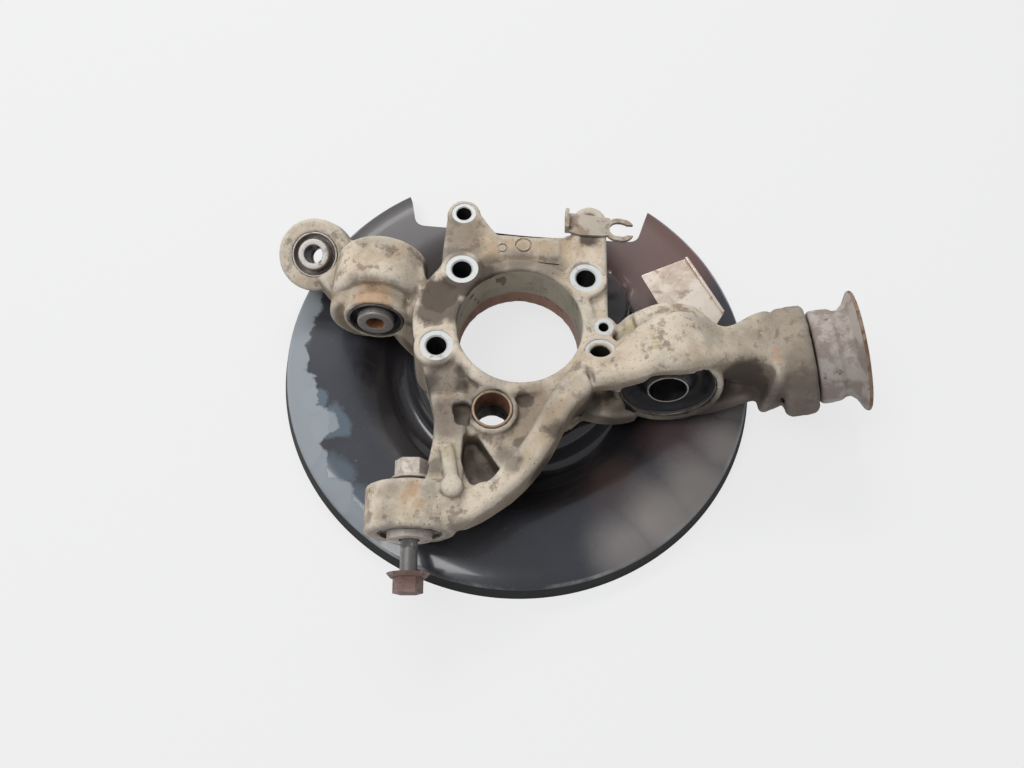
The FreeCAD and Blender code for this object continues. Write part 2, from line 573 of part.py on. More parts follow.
# Dust shield
def sheet_profile(offset):
    """Points (radius, height) along the shield, on its upper or its lower surface."""
    drop = size("shield_edge_z") - size("rim_drop")
    edge_radius = size("shield_radius")
    flare = size("rim_flare")
    return [
        (20.0, -offset),
        (size("seat_radius") - offset * 0.6, -offset),
        (size("trough_inner_radius") - offset * 0.5, size("trough_z") - offset),
        (size("trough_outer_radius") + offset * 0.4, size("trough_z") - offset),
        (size("shield_step_radius") + offset * 0.5, size("shield_step_z") - offset),
        (size("shield_bend_radius") + offset * 0.2, size("shield_field_z") - offset),
        (size("shield_shoulder_radius") - offset * 0.1, size("shield_field_z") - offset),
        (edge_radius - offset, size("shield_edge_z") - offset),
        (edge_radius + flare - offset, drop),
    ]


def turned(points):
    """Solid turned about the hub axis from a closed outline of (radius, height)."""
    outline = [Vector(radius, 0, z) for radius, z in points]
    face = Part.Face(Part.makePolygon(outline + outline[:1]))
    return face.revolve(Vector(0, 0, 0), UP, 360)


def dust_shield():
    """Pressed sheet shield: seat, trough, field and flared rim, with its openings."""
    sheet_t = size("shield_sheet")
    upper = sheet_profile(0.0)
    lower = sheet_profile(sheet_t)
    shell = turned(upper + lower[::-1])
    low = -60.0
    under = turned([(0.0, low), (0.0, -sheet_t)] + lower[1:] + [(lower[-1][0], low)])
    drop = -size("trough_z")
    lobe = size("lobe_radius")
    slope = size("lobe_slope")
    base = LOBE_CENTRE + UP * size("trough_z")
    outside = Part.makeCone(lobe + slope, lobe, drop, base, UP)
    inside = Part.makeCone(lobe + slope - sheet_t, lobe - sheet_t * 0.8, drop,
                           base - UP * sheet_t, UP)
    lobe_shell = outside.cut(inside).cut(under)
    shell = shell.cut(outside).fuse(lobe_shell)
    opening = cylinder(Vector(0, 0, low), size("shield_opening_radius"), 100)
    cutters = [opening]
    for angle in BOLT_ANGLES.values():
        point = polar(size("bolt_circle_radius"), angle, low)
        cutters.append(cylinder(point, size("bolt_hole_radius") + size("shield_bolt_clearance"), 100))
    for angle in SCREW_ANGLES:
        cutters.append(cylinder(polar(size("screw_circle_radius"), angle, low),
                                size("screw_radius") + size("press_gap"), 100))
    drain = size("drain_radius")
    cutters.append(cylinder(LOWER_BORE + UP * low, drain, 100))
    cutters.append(Part.makeBox(1.4 * drain, 40.0, 100, LOWER_BORE + Vector(-0.7 * drain, 0, low)))
    reach = size("shield_radius") + size("rim_flare") + size("notch_overrun")
    notch = plate([(-100.0, reach), (-86.5, 132.0), (-82.0, 110.5), (66.0, 103.4), (87.0, 103.4),
                   (96.0, 132.0), (108.0, reach)], low, 20.0, 9.0)
    cutters.append(notch)
    return shell.cut(cutters).removeSplitter()


add_feature("dust_shield", dust_shield())


# Round pieces: each is a padded ring sketch in a body of its own
def origin_plane(body, role):
    """One of the body's own origin planes."""
    return [f for f in body.Origin.OriginFeatures if f.Role == role][0]


def ring_body(label, outer, inner, length, start, axis, bevel):
    """Tube whose radii, length and bevel are expressions of the sheet."""
    body = doc.addObject("PartDesign::Body", label)
    body.Label = label
    sketch = body.newObject("Sketcher::SketchObject", f"{label}_ring")
    sketch.AttachmentSupport = (origin_plane(body, "XY_Plane"), [""])
    sketch.MapMode = "FlatFace"
    for index, rule in enumerate((outer, inner)):
        sketch.addGeometry(Part.Circle(Vector(0, 0, 0), UP, 20.0 - 5 * index), False)
        sketch.addConstraint(Sketcher.Constraint("Coincident", index, 3, -1, 1))
        place = sketch.addConstraint(Sketcher.Constraint("Radius", index, 20.0 - 5 * index))
        sketch.setExpression(f"Constraints[{place}]", rule)
    pad = body.newObject("PartDesign::Pad", f"{label}_pad")
    pad.Profile = sketch
    pad.setExpression("Length", length)
    doc.recompute()
    rims = [f"Edge{n}" for n, e in enumerate(pad.Shape.Edges, start=1)
            if isinstance(e.Curve, Part.Circle)]
    chamfer = body.newObject("PartDesign::Chamfer", f"{label}_bevel")
    chamfer.Base = (pad, rims)
    chamfer.setExpression("Size", bevel)
    body.Placement = Placement(start, turn_to(axis))
    return body


def bush(name):
    """Outer sleeve, rubber and inner sleeve of the bonded bush in one eye."""
    face, axis = EYES[name]
    sheet_name = f"Sizes.{name}"
    depth = f"{sheet_name}_depth - 2 * {sheet_name}_recess"
    front = size(f"{name}_depth") - size(f"{name}_recess")
    start = face - axis * front
    sleeve = f"{sheet_name}_sleeve_radius"
    inner = f"{sheet_name}_inner_radius"
    bevel = "Sizes.sleeve_chamfer"
    ring_body(f"{name}_outer_sleeve", sleeve, f"{sleeve} - Sizes.sleeve_wall", depth,
              start, axis, bevel)
    ring_body(f"{name}_rubber", f"{sleeve} - Sizes.sleeve_wall", inner,
              f"{depth} - 2 * Sizes.rubber_inset", start + axis * size("rubber_inset"), axis,
              "Sizes.rubber_chamfer")
    proud = size(f"{name}_proud")
    if name == "trailing":
        ring_body(f"{name}_inner_sleeve", inner, f"{sheet_name}_hole_radius",
                  f"{depth} + {sheet_name}_proud", start, axis, bevel)
    else:
        ring_body(f"{name}_inner_sleeve", inner, f"{sheet_name}_hole_radius",
                  f"{depth} + 2 * {sheet_name}_proud", start - axis * proud, axis, bevel)


for eye_name in EYES:
    bush(eye_name)

liner_start = Vector(LOWER_BORE.x, LOWER_BORE.y, size("lower_boss_top") - size("liner_length"))
ring_body("lower_bore_liner", "Sizes.liner_radius", "Sizes.liner_radius - Sizes.liner_wall",
          "Sizes.liner_length", liner_start, UP, "Sizes.sleeve_chamfer")


# Bell mouth of the trailing arm bush
def trailing_bell():
    """Rubber collar, waist and flared mouth, turned about the trailing arm's axis."""
    gap = size("collar_gap")
    collar = size("collar_radius")
    waist = size("waist_radius")
    waist_at = size("waist_at")
    end = size("bell_end_at")
    rim = size("bell_radius")
    lip = size("bell_rim")
    root = size("trailing_inner_radius")
    mouth = size("bell_mouth_radius")

    def at(radius, along):
        return Vector(radius, 0, along)

    throat = size("trailing_proud") - 6.0
    shoulder = 3.5
    edges = [
        Part.LineSegment(at(root, gap), at(collar - shoulder, gap)),
        Part.Arc(at(collar - shoulder, gap),
                 at(collar - 0.3 * shoulder, gap + 0.3 * shoulder), at(collar, gap + shoulder)),
        Part.Arc(at(collar, gap + shoulder), at(collar + 0.5, 9.0), at(collar - 0.4, 15.0)),
        Part.Arc(at(collar - 0.4, 15.0), at(waist, waist_at), at(collar + 2.0, end - 5.5)),
        Part.LineSegment(at(collar + 2.0, end - 5.5), at(rim, end - lip)),
        Part.Arc(at(rim, end - lip), at(rim + 0.6, end - lip / 2), at(rim, end)),
        Part.Arc(at(rim, end), at(mouth + 10.0, end - 2.0), at(mouth, throat)),
        Part.LineSegment(at(mouth, throat), at(root, throat)),
        Part.LineSegment(at(root, throat), at(root, gap)),
    ]
    face = Part.Face(Part.Wire([edge.toShape() for edge in edges]))
    return face.revolve(Vector(0, 0, 0), UP, 360)


bell = add_feature("trailing_bell_mouth", trailing_bell())
bell.Placement = Placement(TRAILING_FACE, turn_to(TRAILING_AXIS))


# Bolt and nut of the toe link
def bound(kind, label, **rules):
    """Part primitive whose sizes are expressions of the sheet."""
    piece = doc.addObject(kind, label)
    for name, rule in rules.items():
        piece.setExpression(name, rule)
    return piece


def along_z(piece, height):
    """Move a primitive to a height on its own axis."""
    piece.Placement = Placement(Vector(0, 0, height), Rotation())
    return piece


def fused(label, pieces, placement):
    """Join primitives into one named piece and put it in its place."""
    whole = doc.addObject("Part::MultiFuse", label)
    whole.Shapes = pieces
    whole.Label = label
    whole.Placement = placement
    return whole


toe_place = Placement(TOE_FACE, turn_to(TOE_AXIS))
HEX_CORNERS = 2 / math.sqrt(3)
nut_face = size("toe_depth") + size("toe_proud") + size("nut_standoff")
nut_total = size("bolt_flange_height") + size("nut_height")
bolt_reach = nut_face + nut_total - size("thread_inset")
thread_length = size("thread_length")

shank = bound("Part::Cylinder", "bolt_shank", Radius="Sizes.shank_radius")
shank.Height = bolt_reach - thread_length + size("bolt_standoff")
along_z(shank, thread_length - bolt_reach)
thread = bound("Part::Cylinder", "bolt_thread", Radius="Sizes.thread_radius",
               Height="Sizes.thread_length")
along_z(thread, -bolt_reach)
flange = bound("Part::Cone", "bolt_flange", Radius1="Sizes.bolt_flange_radius",
               Radius2="Sizes.bolt_flange_radius * 0.82", Height="Sizes.bolt_flange_height")
along_z(flange, size("bolt_standoff"))
head = bound("Part::Prism", "bolt_hex", Height="Sizes.bolt_head_height",
             Circumradius=f"Sizes.bolt_hex / 2 * {HEX_CORNERS}")
head.Polygon = 6
along_z(head, size("bolt_standoff") + size("bolt_flange_height"))
fused("toe_link_bolt", [shank, thread, flange, head], toe_place)

nut_flange = bound("Part::Cone", "nut_flange", Radius1="Sizes.bolt_flange_radius * 0.82",
                   Radius2="Sizes.bolt_flange_radius", Height="Sizes.bolt_flange_height")
along_z(nut_flange, -nut_face - size("bolt_flange_height"))
nut_body = bound("Part::Prism", "nut_body", Height="Sizes.nut_height",
                 Circumradius=f"Sizes.nut_hex / 2 * {HEX_CORNERS}")
nut_body.Polygon = 6
along_z(nut_body, -nut_face - nut_total)
nut_hole = bound("Part::Cylinder", "nut_hole", Radius="Sizes.thread_radius + Sizes.nut_gap")
nut_hole.Height = 3 * nut_total
along_z(nut_hole, -nut_face - 2 * nut_total)
nut_blank = doc.addObject("Part::MultiFuse", "nut_blank")
nut_blank.Shapes = [nut_flange, nut_body]
nut = doc.addObject("Part::Cut", "toe_link_nut")
nut.Base = nut_blank
nut.Tool = nut_hole
nut.Label = "toe_link_nut"
nut.Placement = toe_place


# Screws
def screw(name, radius, length, head_radius, head_height, place):
    """Button or hexagon screw that points up, with its head's seat at the given place."""
    stem = bound("Part::Cylinder", f"{name}_stem", Radius=radius, Height=length)
    cap = bound("Part::Cylinder", f"{name}_cap", Radius=head_radius, Height=head_height)
    doc.recompute()
    along_z(cap, -cap.Height.Value)
    return fused(name, [stem, cap], Placement(place, Rotation()))


screws = []
for number, screw_angle in enumerate(SCREW_ANGLES, start=1):
    seat_point = polar(size("screw_circle_radius"), screw_angle, -size("shield_sheet"))
    screws.append(screw(f"shield_screw_{number}", "Sizes.screw_radius",
                        "Sizes.screw_depth + Sizes.shield_sheet", "Sizes.screw_head_radius",
                        "Sizes.screw_head_height", seat_point))
screw_group = doc.addObject("Part::Compound", "shield_screws")
screw_group.Links = screws
screw_group.Label = "shield_screws"

lug_underside = size("lug_top") - size("lug_thickness")
screw("bracket_screw", "Sizes.bracket_screw_radius", "Sizes.lug_thickness",
      "Sizes.bracket_head_radius", "Sizes.bracket_head_height",
      Vector(RIGHT_LUG.x, RIGHT_LUG.y, lug_underside))


# Hose bracket
def hose_bracket():
    """Sheet bracket on the right lug, with an upturned tab, a lip and a fork for a hose."""
    bottom = size("lug_top")
    top = bottom + size("bracket_sheet")
    tab_top = top + size("bracket_tab_height")
    lip_bottom = bottom - size("bracket_lip_height")
    front = RIGHT_LUG.y - size("bracket_depth") + 0.2
    back = RIGHT_LUG.y + 3.0
    base = plate([(30.5, front + 3.0), (30.5, back), (40.0, back - 0.4), (61.0, back - 3.0),
                  (61.0, front + 1.0), (56.0, front), (40.0, front)], bottom, top, 0.9)
    tab = plate([(29.0, front + 2.5), (29.0, back), (31.8, back), (31.8, front + 2.5)],
                bottom, tab_top, 1.0)
    lip = plate([(41.2, front), (41.2, front + 2.5), (54.4, front + 2.5), (54.4, front)],
                lip_bottom, top, 0.6)
    inner = size("fork_inner_radius")
    outer = inner + size("fork_width")
    reach = size("fork_reach")
    near = Vector(66.3, 80.6, bottom)
    far = near + Vector(reach, -0.4, 0)
    thickness = top - bottom

    def slot(radius):
        ends = [cylinder(near, radius, thickness), cylinder(far, radius, thickness)]
        middle = Part.makeBox(reach, 2 * radius, thickness, near - Vector(0, radius, 0))
        return ends[0].multiFuse([ends[1], middle])

    mouth = Part.makeBox(30.0, 1.56 * inner, thickness, far + Vector(0, -0.78 * inner, 0))
    whole = base.multiFuse([tab, lip, slot(outer)])
    return whole.cut([slot(inner), mouth]).removeSplitter()


add_feature("hose_bracket", hose_bracket())


# Label plate
def label_plate():
    """Thin bare plate on the casting, turned up along its outer edge."""
    bottom = size("plate_z")
    top = bottom + size("plate_sheet")
    base = plate([(86.0, 59.0), (119.6, 75.4), (144.2, 31.5), (137.2, 19.6),
                  (108.0, 17.0)], bottom, top, 1.0)
    lip = plate([(117.9, 74.5), (119.6, 75.4), (144.2, 31.5), (142.5, 30.6)], bottom,
                top + size("plate_lip"), 0.0)
    return base.fuse(lip).removeSplitter()


add_feature("label_plate", label_plate())

doc.recompute()
NODES = ["knuckle_casting", "dust_shield", "shield_screws", "lower_bore_liner"]
for eye_name in EYES:
    NODES += [f"{eye_name}_outer_sleeve", f"{eye_name}_rubber", f"{eye_name}_inner_sleeve"]
NODES += ["trailing_bell_mouth", "toe_link_bolt", "toe_link_nut", "hose_bracket",
          "bracket_screw", "label_plate"]

for item in doc.Objects:
    faults = [word for word in item.State if word in ("Invalid", "Error")]
    if faults:
        raise RuntimeError(f"{item.Name} is {faults}")
pieces = [doc.getObjectsByLabel(node)[0] for node in NODES]
for piece in pieces:
    if piece.Shape.isNull() or not piece.Shape.isValid():
        raise RuntimeError(f"{piece.Label} has no valid shape")
os.makedirs("parts", exist_ok=True)
for piece in pieces:
    box = piece.Shape.BoundBox
    print(piece.Label, len(piece.Shape.Solids), round(piece.Shape.Volume),
          [round(v, 1) for v in (box.XMin, box.YMin, box.ZMin, box.XMax, box.YMax, box.ZMax)])
    piece.Shape.exportStep(f"parts/{piece.Label}.step")
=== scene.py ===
import logging
import math
from dataclasses import dataclass, field
from enum import Enum
from typing import Iterable, Sequence

import bmesh
import bpy
import numpy as np
from mathutils import Matrix, Vector, noise
from mathutils.bvhtree import BVHTree


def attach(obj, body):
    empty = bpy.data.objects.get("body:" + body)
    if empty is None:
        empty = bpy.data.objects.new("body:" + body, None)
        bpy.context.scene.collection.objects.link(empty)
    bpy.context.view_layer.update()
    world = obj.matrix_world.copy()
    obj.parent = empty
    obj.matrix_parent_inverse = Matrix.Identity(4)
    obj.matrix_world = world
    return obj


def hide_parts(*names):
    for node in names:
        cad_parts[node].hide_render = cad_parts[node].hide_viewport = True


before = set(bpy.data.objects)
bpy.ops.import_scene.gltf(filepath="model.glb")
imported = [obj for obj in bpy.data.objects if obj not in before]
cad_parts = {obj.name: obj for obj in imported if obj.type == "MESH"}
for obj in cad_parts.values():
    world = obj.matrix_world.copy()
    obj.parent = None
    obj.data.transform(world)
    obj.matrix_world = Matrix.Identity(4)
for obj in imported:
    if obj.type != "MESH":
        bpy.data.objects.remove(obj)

LOG = logging.getLogger("hub_carrier")
MM = 0.001
Colour = tuple[float, float, float, float]
Socket = bpy.types.NodeSocket
Tree = bpy.types.NodeTree
Node = bpy.types.Node
Mesh = bpy.types.Mesh
Object = bpy.types.Object
Material = bpy.types.Material


def tint(red: int, green: int, reflected_blue: int) -> Colour:
    """Screen colour from 0 to 255 as the linear colour that a shader socket takes.

    Args:
        red: Red as seen on screen.
        green: Green as seen on screen.
        reflected_blue: Blue as seen on screen.

    Returns:
        Linear colour with full alpha.
    """
    def linear(value: int) -> float:
        """One channel without its screen curve."""
        share = value / 255.0
        return share / 12.92 if share <= 0.04045 else ((share + 0.055) / 1.055) ** 2.4

    return (linear(red), linear(green), linear(reflected_blue), 1.0)


def mm(x: float, y: float, z: float) -> Vector:
    """Point given in millimetres, in metres."""
    return Vector((x, y, z)) * MM


class Slot(str, Enum):
    """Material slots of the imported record."""

    CAST = "cast_aluminium"
    PAINT = "black_paint"
    BUSH = "bush_steel"
    RUBBER = "rubber"
    RUSTY = "rusty_steel"
    DULL = "dull_steel"
    PLATE = "plate_metal"


class Nodes:
    """Adds and joins the nodes of one shader tree."""

    def __init__(self, tree: Tree) -> None:
        """Keeps the tree that this object writes to."""
        self.tree = tree

    def add(self, kind: str, **settings: object) -> Node:
        """New node with its settings.

        Args:
            kind: Blender's name of the node type.
            settings: Attributes of the node.

        Returns:
            The node.
        """
        node = self.tree.nodes.new(kind)
        for name, value in settings.items():
            setattr(node, name, value)
        return node

    def feed(self, socket: Socket, value: object) -> None:
        """Links a socket or sets its plain value.

        Args:
            socket: Input to fill.
            value: Another socket, a number, a vector or a colour.
        """
        if isinstance(value, Socket):
            self.tree.links.new(value, socket)
        else:
            socket.default_value = value

    def math(self, operation: str, first: object, second: object = 0.0) -> Socket:
        """Result of one arithmetic step, kept between 0 and 1.

        Args:
            operation: Blender's name of the step.
            first: First value.
            second: Second value.

        Returns:
            The result's socket.
        """
        node = self.add("ShaderNodeMath", operation=operation, use_clamp=True)
        self.feed(node.inputs[0], first)
        self.feed(node.inputs[1], second)
        return node.outputs[0]

    def vector(self, operation: str, first: object, second: object = None) -> Node:
        """Vector step such as ADD, SCALE or DISTANCE.

        Args:
            operation: Blender's name of the step.
            first: First vector.
            second: Second vector or a scale.

        Returns:
            The node.
        """
        node = self.add("ShaderNodeVectorMath", operation=operation)
        self.feed(node.inputs[0], first)
        if second is not None:
            self.feed(node.inputs["Scale" if operation == "SCALE" else 1], second)
        return node

    def mix(self, share: object, low: object, high: object) -> Socket:
        """Colour between two colours.

        Args:
            share: 0 for the first colour, 1 for the second.
            low: First colour.
            high: Second colour.

        Returns:
            The mixed colour's socket.
        """
        node = self.add("ShaderNodeMix", data_type="RGBA")
        self.feed(node.inputs[0], share)
        self.feed(node.inputs[6], low)
        self.feed(node.inputs[7], high)
        return node.outputs[2]

    def ramp(self, value: object, low: object, high: object, start: float = 0.0, end: float = 1.0) -> Socket:
        """Smooth step of a value.

        Args:
            value: What is read.
            low: Value that gives start.
            high: Value that gives end.
            start: Result at low and below.
            end: Result at high and above.

        Returns:
            The result's socket.
        """
        node = self.add("ShaderNodeMapRange", interpolation_type="SMOOTHSTEP")
        for name, item in (("Value", value), ("From Min", low), ("From Max", high),
                           ("To Min", start), ("To Max", end)):
            self.feed(node.inputs[name], item)
        return node.outputs[0]

    def noise(self, place: object, scale: object, detail: float = 6.0, rough: float = 0.6,
              distortion: float = 0.0) -> Node:
        """Noise texture read at a place.

        Args:
            place: Where it is read.
            scale: Its scale.
            detail: Its octaves.
            rough: Share of each finer octave.
            distortion: How far it is swirled.

        Returns:
            The node.
        """
        node = self.add("ShaderNodeTexNoise")
        for name, item in (("Vector", place), ("Scale", scale), ("Detail", detail),
                           ("Roughness", rough), ("Distortion", distortion)):
            self.feed(node.inputs[name], item)
        return node

    def place(self) -> Socket:
        """Object coordinates, which are the part's own frame in metres."""
        return self.add("ShaderNodeTexCoord").outputs["Object"]

    def attribute(self, name: str) -> Socket:
        """Value of a mesh attribute."""
        return self.add("ShaderNodeAttribute", attribute_name=name).outputs["Fac"]

    def use(self, group: Tree, **values: object) -> Node:
        """Places a node group and fills its inputs by name.

        Args:
            group: The group.
            values: Its inputs, with an underscore for each space.

        Returns:
            The node.
        """
        node = self.add("ShaderNodeGroup")
        node.node_tree = group
        for name, value in values.items():
            self.feed(node.inputs[name.replace("_", " ")], value)
        return node


def shader_group(name: str, inputs: Sequence[tuple[str, str, object]],
                 outputs: Sequence[tuple[str, str]]) -> tuple[Tree, Nodes, dict, dict]:
    """Empty shader group with named sockets.

    Args:
        name: Name of the group.
        inputs: Name, kind and default of each input.
        outputs: Name and kind of each output.

    Returns:
        The tree, its writer, its inputs and its outputs by name.
    """
    tree = bpy.data.node_groups.new(name, "ShaderNodeTree")
    for label, kind, default in inputs:
        socket = tree.interface.new_socket(name=label, in_out="INPUT", socket_type="NodeSocket" + kind)
        socket.default_value = default
    for label, kind in outputs:
        tree.interface.new_socket(name=label, in_out="OUTPUT", socket_type="NodeSocket" + kind)
    writer = Nodes(tree)
    entry = writer.add("NodeGroupInput")
    leave = writer.add("NodeGroupOutput")
    reads = {socket.name: socket for socket in entry.outputs if socket.name}
    writes = {socket.name: socket for socket in leave.inputs if socket.name}
    return tree, writer, reads, writes


class Effects:
    """Shader groups that several finishes share."""

    def __init__(self) -> None:
        """Builds each group once."""
        self.ragged = self._ragged_place()
        self.spot = self._spot()
        self.patches = self._patches()
        self.grain = self._grain()
        self.dust = self._dust()
        self.scratches = self._scratches()

    @staticmethod
    def _ragged_place() -> Tree:
        """Object coordinates pushed about by noise, so that stains get ragged outlines.

        Returns:
            The group.
        """
        tree, write, get, put = shader_group(
            "ragged_place", [("Push", "Float", 0.006), ("Scale", "Float", 70.0)], [("Place", "Vector")])
        place = write.place()
        wander = write.noise(place, get["Scale"], 7.0, 0.62)
        centred = write.vector("SUBTRACT", wander.outputs["Color"], (0.5, 0.5, 0.5))
        pushed = write.vector("SCALE", centred.outputs[0], get["Push"])
        write.feed(put["Place"], write.vector("ADD", place, pushed.outputs[0]).outputs[0])
        return tree

    @staticmethod
    def _spot() -> Tree:
        """Round stain about a centre: 1 inside, 0 outside.

        Returns:
            The group.
        """
        tree, write, get, put = shader_group(
            "spot", [("Place", "Vector", (0, 0, 0)), ("Centre", "Vector", (0, 0, 0)),
                     ("Inner", "Float", 0.004), ("Outer", "Float", 0.008)], [("Mask", "Float")])
        away = write.vector("DISTANCE", get["Place"], get["Centre"]).outputs["Value"]
        write.feed(put["Mask"], write.ramp(away, get["Inner"], get["Outer"], 1.0, 0.0))
        return tree

    @staticmethod
    def _patches() -> Tree:
        """Irregular patches all over a surface.

        Returns:
            The group.
        """
        tree, write, get, put = shader_group(
            "patches", [("Scale", "Float", 40.0), ("Level", "Float", 0.5), ("Blur", "Float", 0.08),
                        ("Shift", "Vector", (0, 0, 0))], [("Mask", "Float")])
        moved = write.vector("ADD", write.place(), get["Shift"]).outputs[0]
        cloud = write.noise(moved, get["Scale"], 9.0, 0.66, 0.25).outputs["Fac"]
        top = write.add("ShaderNodeMath", operation="ADD")
        write.feed(top.inputs[0], get["Level"])
        write.feed(top.inputs[1], get["Blur"])
        write.feed(put["Mask"], write.ramp(cloud, get["Level"], top.outputs[0]))
        return tree

    @staticmethod
    def _grain() -> Tree:
        """Sand-cast skin: a height for a bump and a mask of its dark pits.

        Returns:
            The group.
        """
        tree, write, get, put = shader_group(
            "cast_grain", [("Scale", "Float", 900.0), ("Pit Scale", "Float", 260.0)],
            [("Height", "Float"), ("Pits", "Float")])
        place = write.place()
        fine = write.noise(place, get["Scale"], 5.0, 0.7).outputs["Fac"]
        cells = write.add("ShaderNodeTexVoronoi")
        write.feed(cells.inputs["Vector"], place)
        write.feed(cells.inputs["Scale"], get["Pit Scale"])
        chance = write.noise(place, 60.0, 3.0, 0.5).outputs["Fac"]
        deep = write.ramp(cells.outputs["Distance"], 0.0, 0.24, 1.0, 0.0)
        pits = write.math("MULTIPLY", deep, write.ramp(chance, 0.5, 0.62))
        lowered = write.math("MULTIPLY", pits, 0.6)
        write.feed(put["Height"], write.math("SUBTRACT", fine, lowered))
        write.feed(put["Pits"], pits)
        return tree

    @staticmethod
    def _dust() -> Tree:
        """Dry dust that lies on faces that look up.

        Returns:
            The group.
        """
        tree, write, get, put = shader_group(
            "settled_dust", [("Amount", "Float", 0.5), ("Scale", "Float", 120.0)], [("Mask", "Float")])
        facing = write.add("ShaderNodeSeparateXYZ")
        write.feed(facing.inputs[0], write.add("ShaderNodeNewGeometry").outputs["Normal"])
        up = write.ramp(facing.outputs["Z"], 0.1, 0.95)
        cloud = write.noise(write.place(), get["Scale"], 8.0, 0.68).outputs["Fac"]
        uneven = write.ramp(cloud, 0.35, 0.65)
        write.feed(put["Mask"], write.math("MULTIPLY", write.math("MULTIPLY", up, uneven), get["Amount"]))
        return tree

    @staticmethod
    def _scratches() -> Tree:
        """Sparse fine scratches in one direction.

        Returns:
            The group.
        """
        tree, write, get, put = shader_group(
            "scratches", [("Turn", "Float", 0.6), ("Scale", "Float", 14.0), ("Level", "Float", 0.68)],
            [("Mask", "Float")])
        turned = write.add("ShaderNodeVectorRotate", rotation_type="Z_AXIS")
        write.feed(turned.inputs["Vector"], write.place())
        write.feed(turned.inputs["Angle"], get["Turn"])
        thin = write.vector("MULTIPLY", turned.outputs[0], (1.0, 38.0, 1.0)).outputs[0]
        lines = write.noise(thin, get["Scale"], 3.0, 0.5, 0.4).outputs["Fac"]
        top = write.add("ShaderNodeMath", operation="ADD")
        write.feed(top.inputs[0], get["Level"])
        write.feed(top.inputs[1], 0.03)
        write.feed(put["Mask"], write.ramp(lines, get["Level"], top.outputs[0]))
        return tree


@dataclass(frozen=True)
class Stain:
    """One placed stain: centre and radius in millimetres, softness of its rim and strength."""

    x: float
    y: float
    z: float
    radius: float
    soft: float = 3.0
    strength: float = 1.0


def spots(*rows: tuple[float, ...]) -> tuple[Stain, ...]:
    """Stains from rows of a stain's values."""
    return tuple(Stain(*row) for row in rows)


class Skin(Nodes):
    """Writer of one material: its Principled BSDF and the effects that it shares."""

    def __init__(self, name: str, effects: Effects | None = None) -> None:
        """Starts the material.

        Args:
            name: Name of the material.
            effects: Shared groups, where the material uses them.
        """
        self.material = bpy.data.materials.new(name)
        self.material.use_nodes = True
        self.material.node_tree.nodes.clear()
        super().__init__(self.material.node_tree)
        self.effects = effects
        self.surface = self.add("ShaderNodeBsdfPrincipled")
        self.output = self.add("ShaderNodeOutputMaterial")
        self.feed(self.output.inputs["Surface"], self.surface.outputs[0])

    def put(self, **values: object) -> None:
        """Fills the surface's sockets by name.

        Args:
            values: The values, with an underscore for each space.
        """
        for name, value in values.items():
            self.feed(self.surface.inputs[name.replace("_", " ")], value)

    def patches(self, scale: float, level: float, blur: float,
                shift: tuple[float, float, float] = (0.0, 0.0, 0.0)) -> Socket:
        """Mask of irregular patches.

        Args:
            scale: Scale of the noise under them.
            level: Noise value at which a patch starts.
            blur: Width of a patch's rim.
            shift: Moves the pattern, so that no two are alike.

        Returns:
            The mask's socket.
        """
        return self.use(self.effects.patches, Scale=scale, Level=level, Blur=blur, Shift=shift).outputs[0]

    def ragged(self, push: float, scale: float) -> Socket:
        """Object coordinates pushed about by noise."""
        return self.use(self.effects.ragged, Push=push, Scale=scale).outputs["Place"]

    def over(self, base: object, mask: object, colour: Colour, share: float) -> Socket:
        """Lays a colour over another where a mask says.

        Args:
            base: Colour below.
            mask: 1 where the upper colour shows.
            colour: Colour above.
            share: Strength of the colour above.

        Returns:
            The mixed colour's socket.
        """
        return self.mix(self.math("MULTIPLY", mask, share), base, colour)

    def stains(self, place: Socket, stains: Iterable[Stain]) -> Socket:
        """Greatest of several placed stains.

        Args:
            place: Ragged coordinates.
            stains: The stains.

        Returns:
            The mask's socket.
        """
        total: object = 0.0
        for stain in stains:
            node = self.use(self.effects.spot, Place=place, Centre=tuple(mm(stain.x, stain.y, stain.z)),
                            Inner=max(stain.radius - stain.soft, 0.0) * MM,
                            Outer=(stain.radius + stain.soft) * MM)
            mask = self.math("MULTIPLY", node.outputs["Mask"], stain.strength)
            total = self.math("MAXIMUM", total, mask)
        return total

    def bump(self, height: object, depth: float, strength: float = 1.0) -> None:
        """Feeds a height to the surface's normal.

        Args:
            height: Height from 0 to 1.
            depth: Real height of a step from 0 to 1, in metres.
            strength: Share of the bump.
        """
        bump = self.add("ShaderNodeBump")
        for name, value in (("Height", height), ("Distance", depth), ("Strength", strength)):
            self.feed(bump.inputs[name], value)
        self.put(Normal=bump.outputs[0])


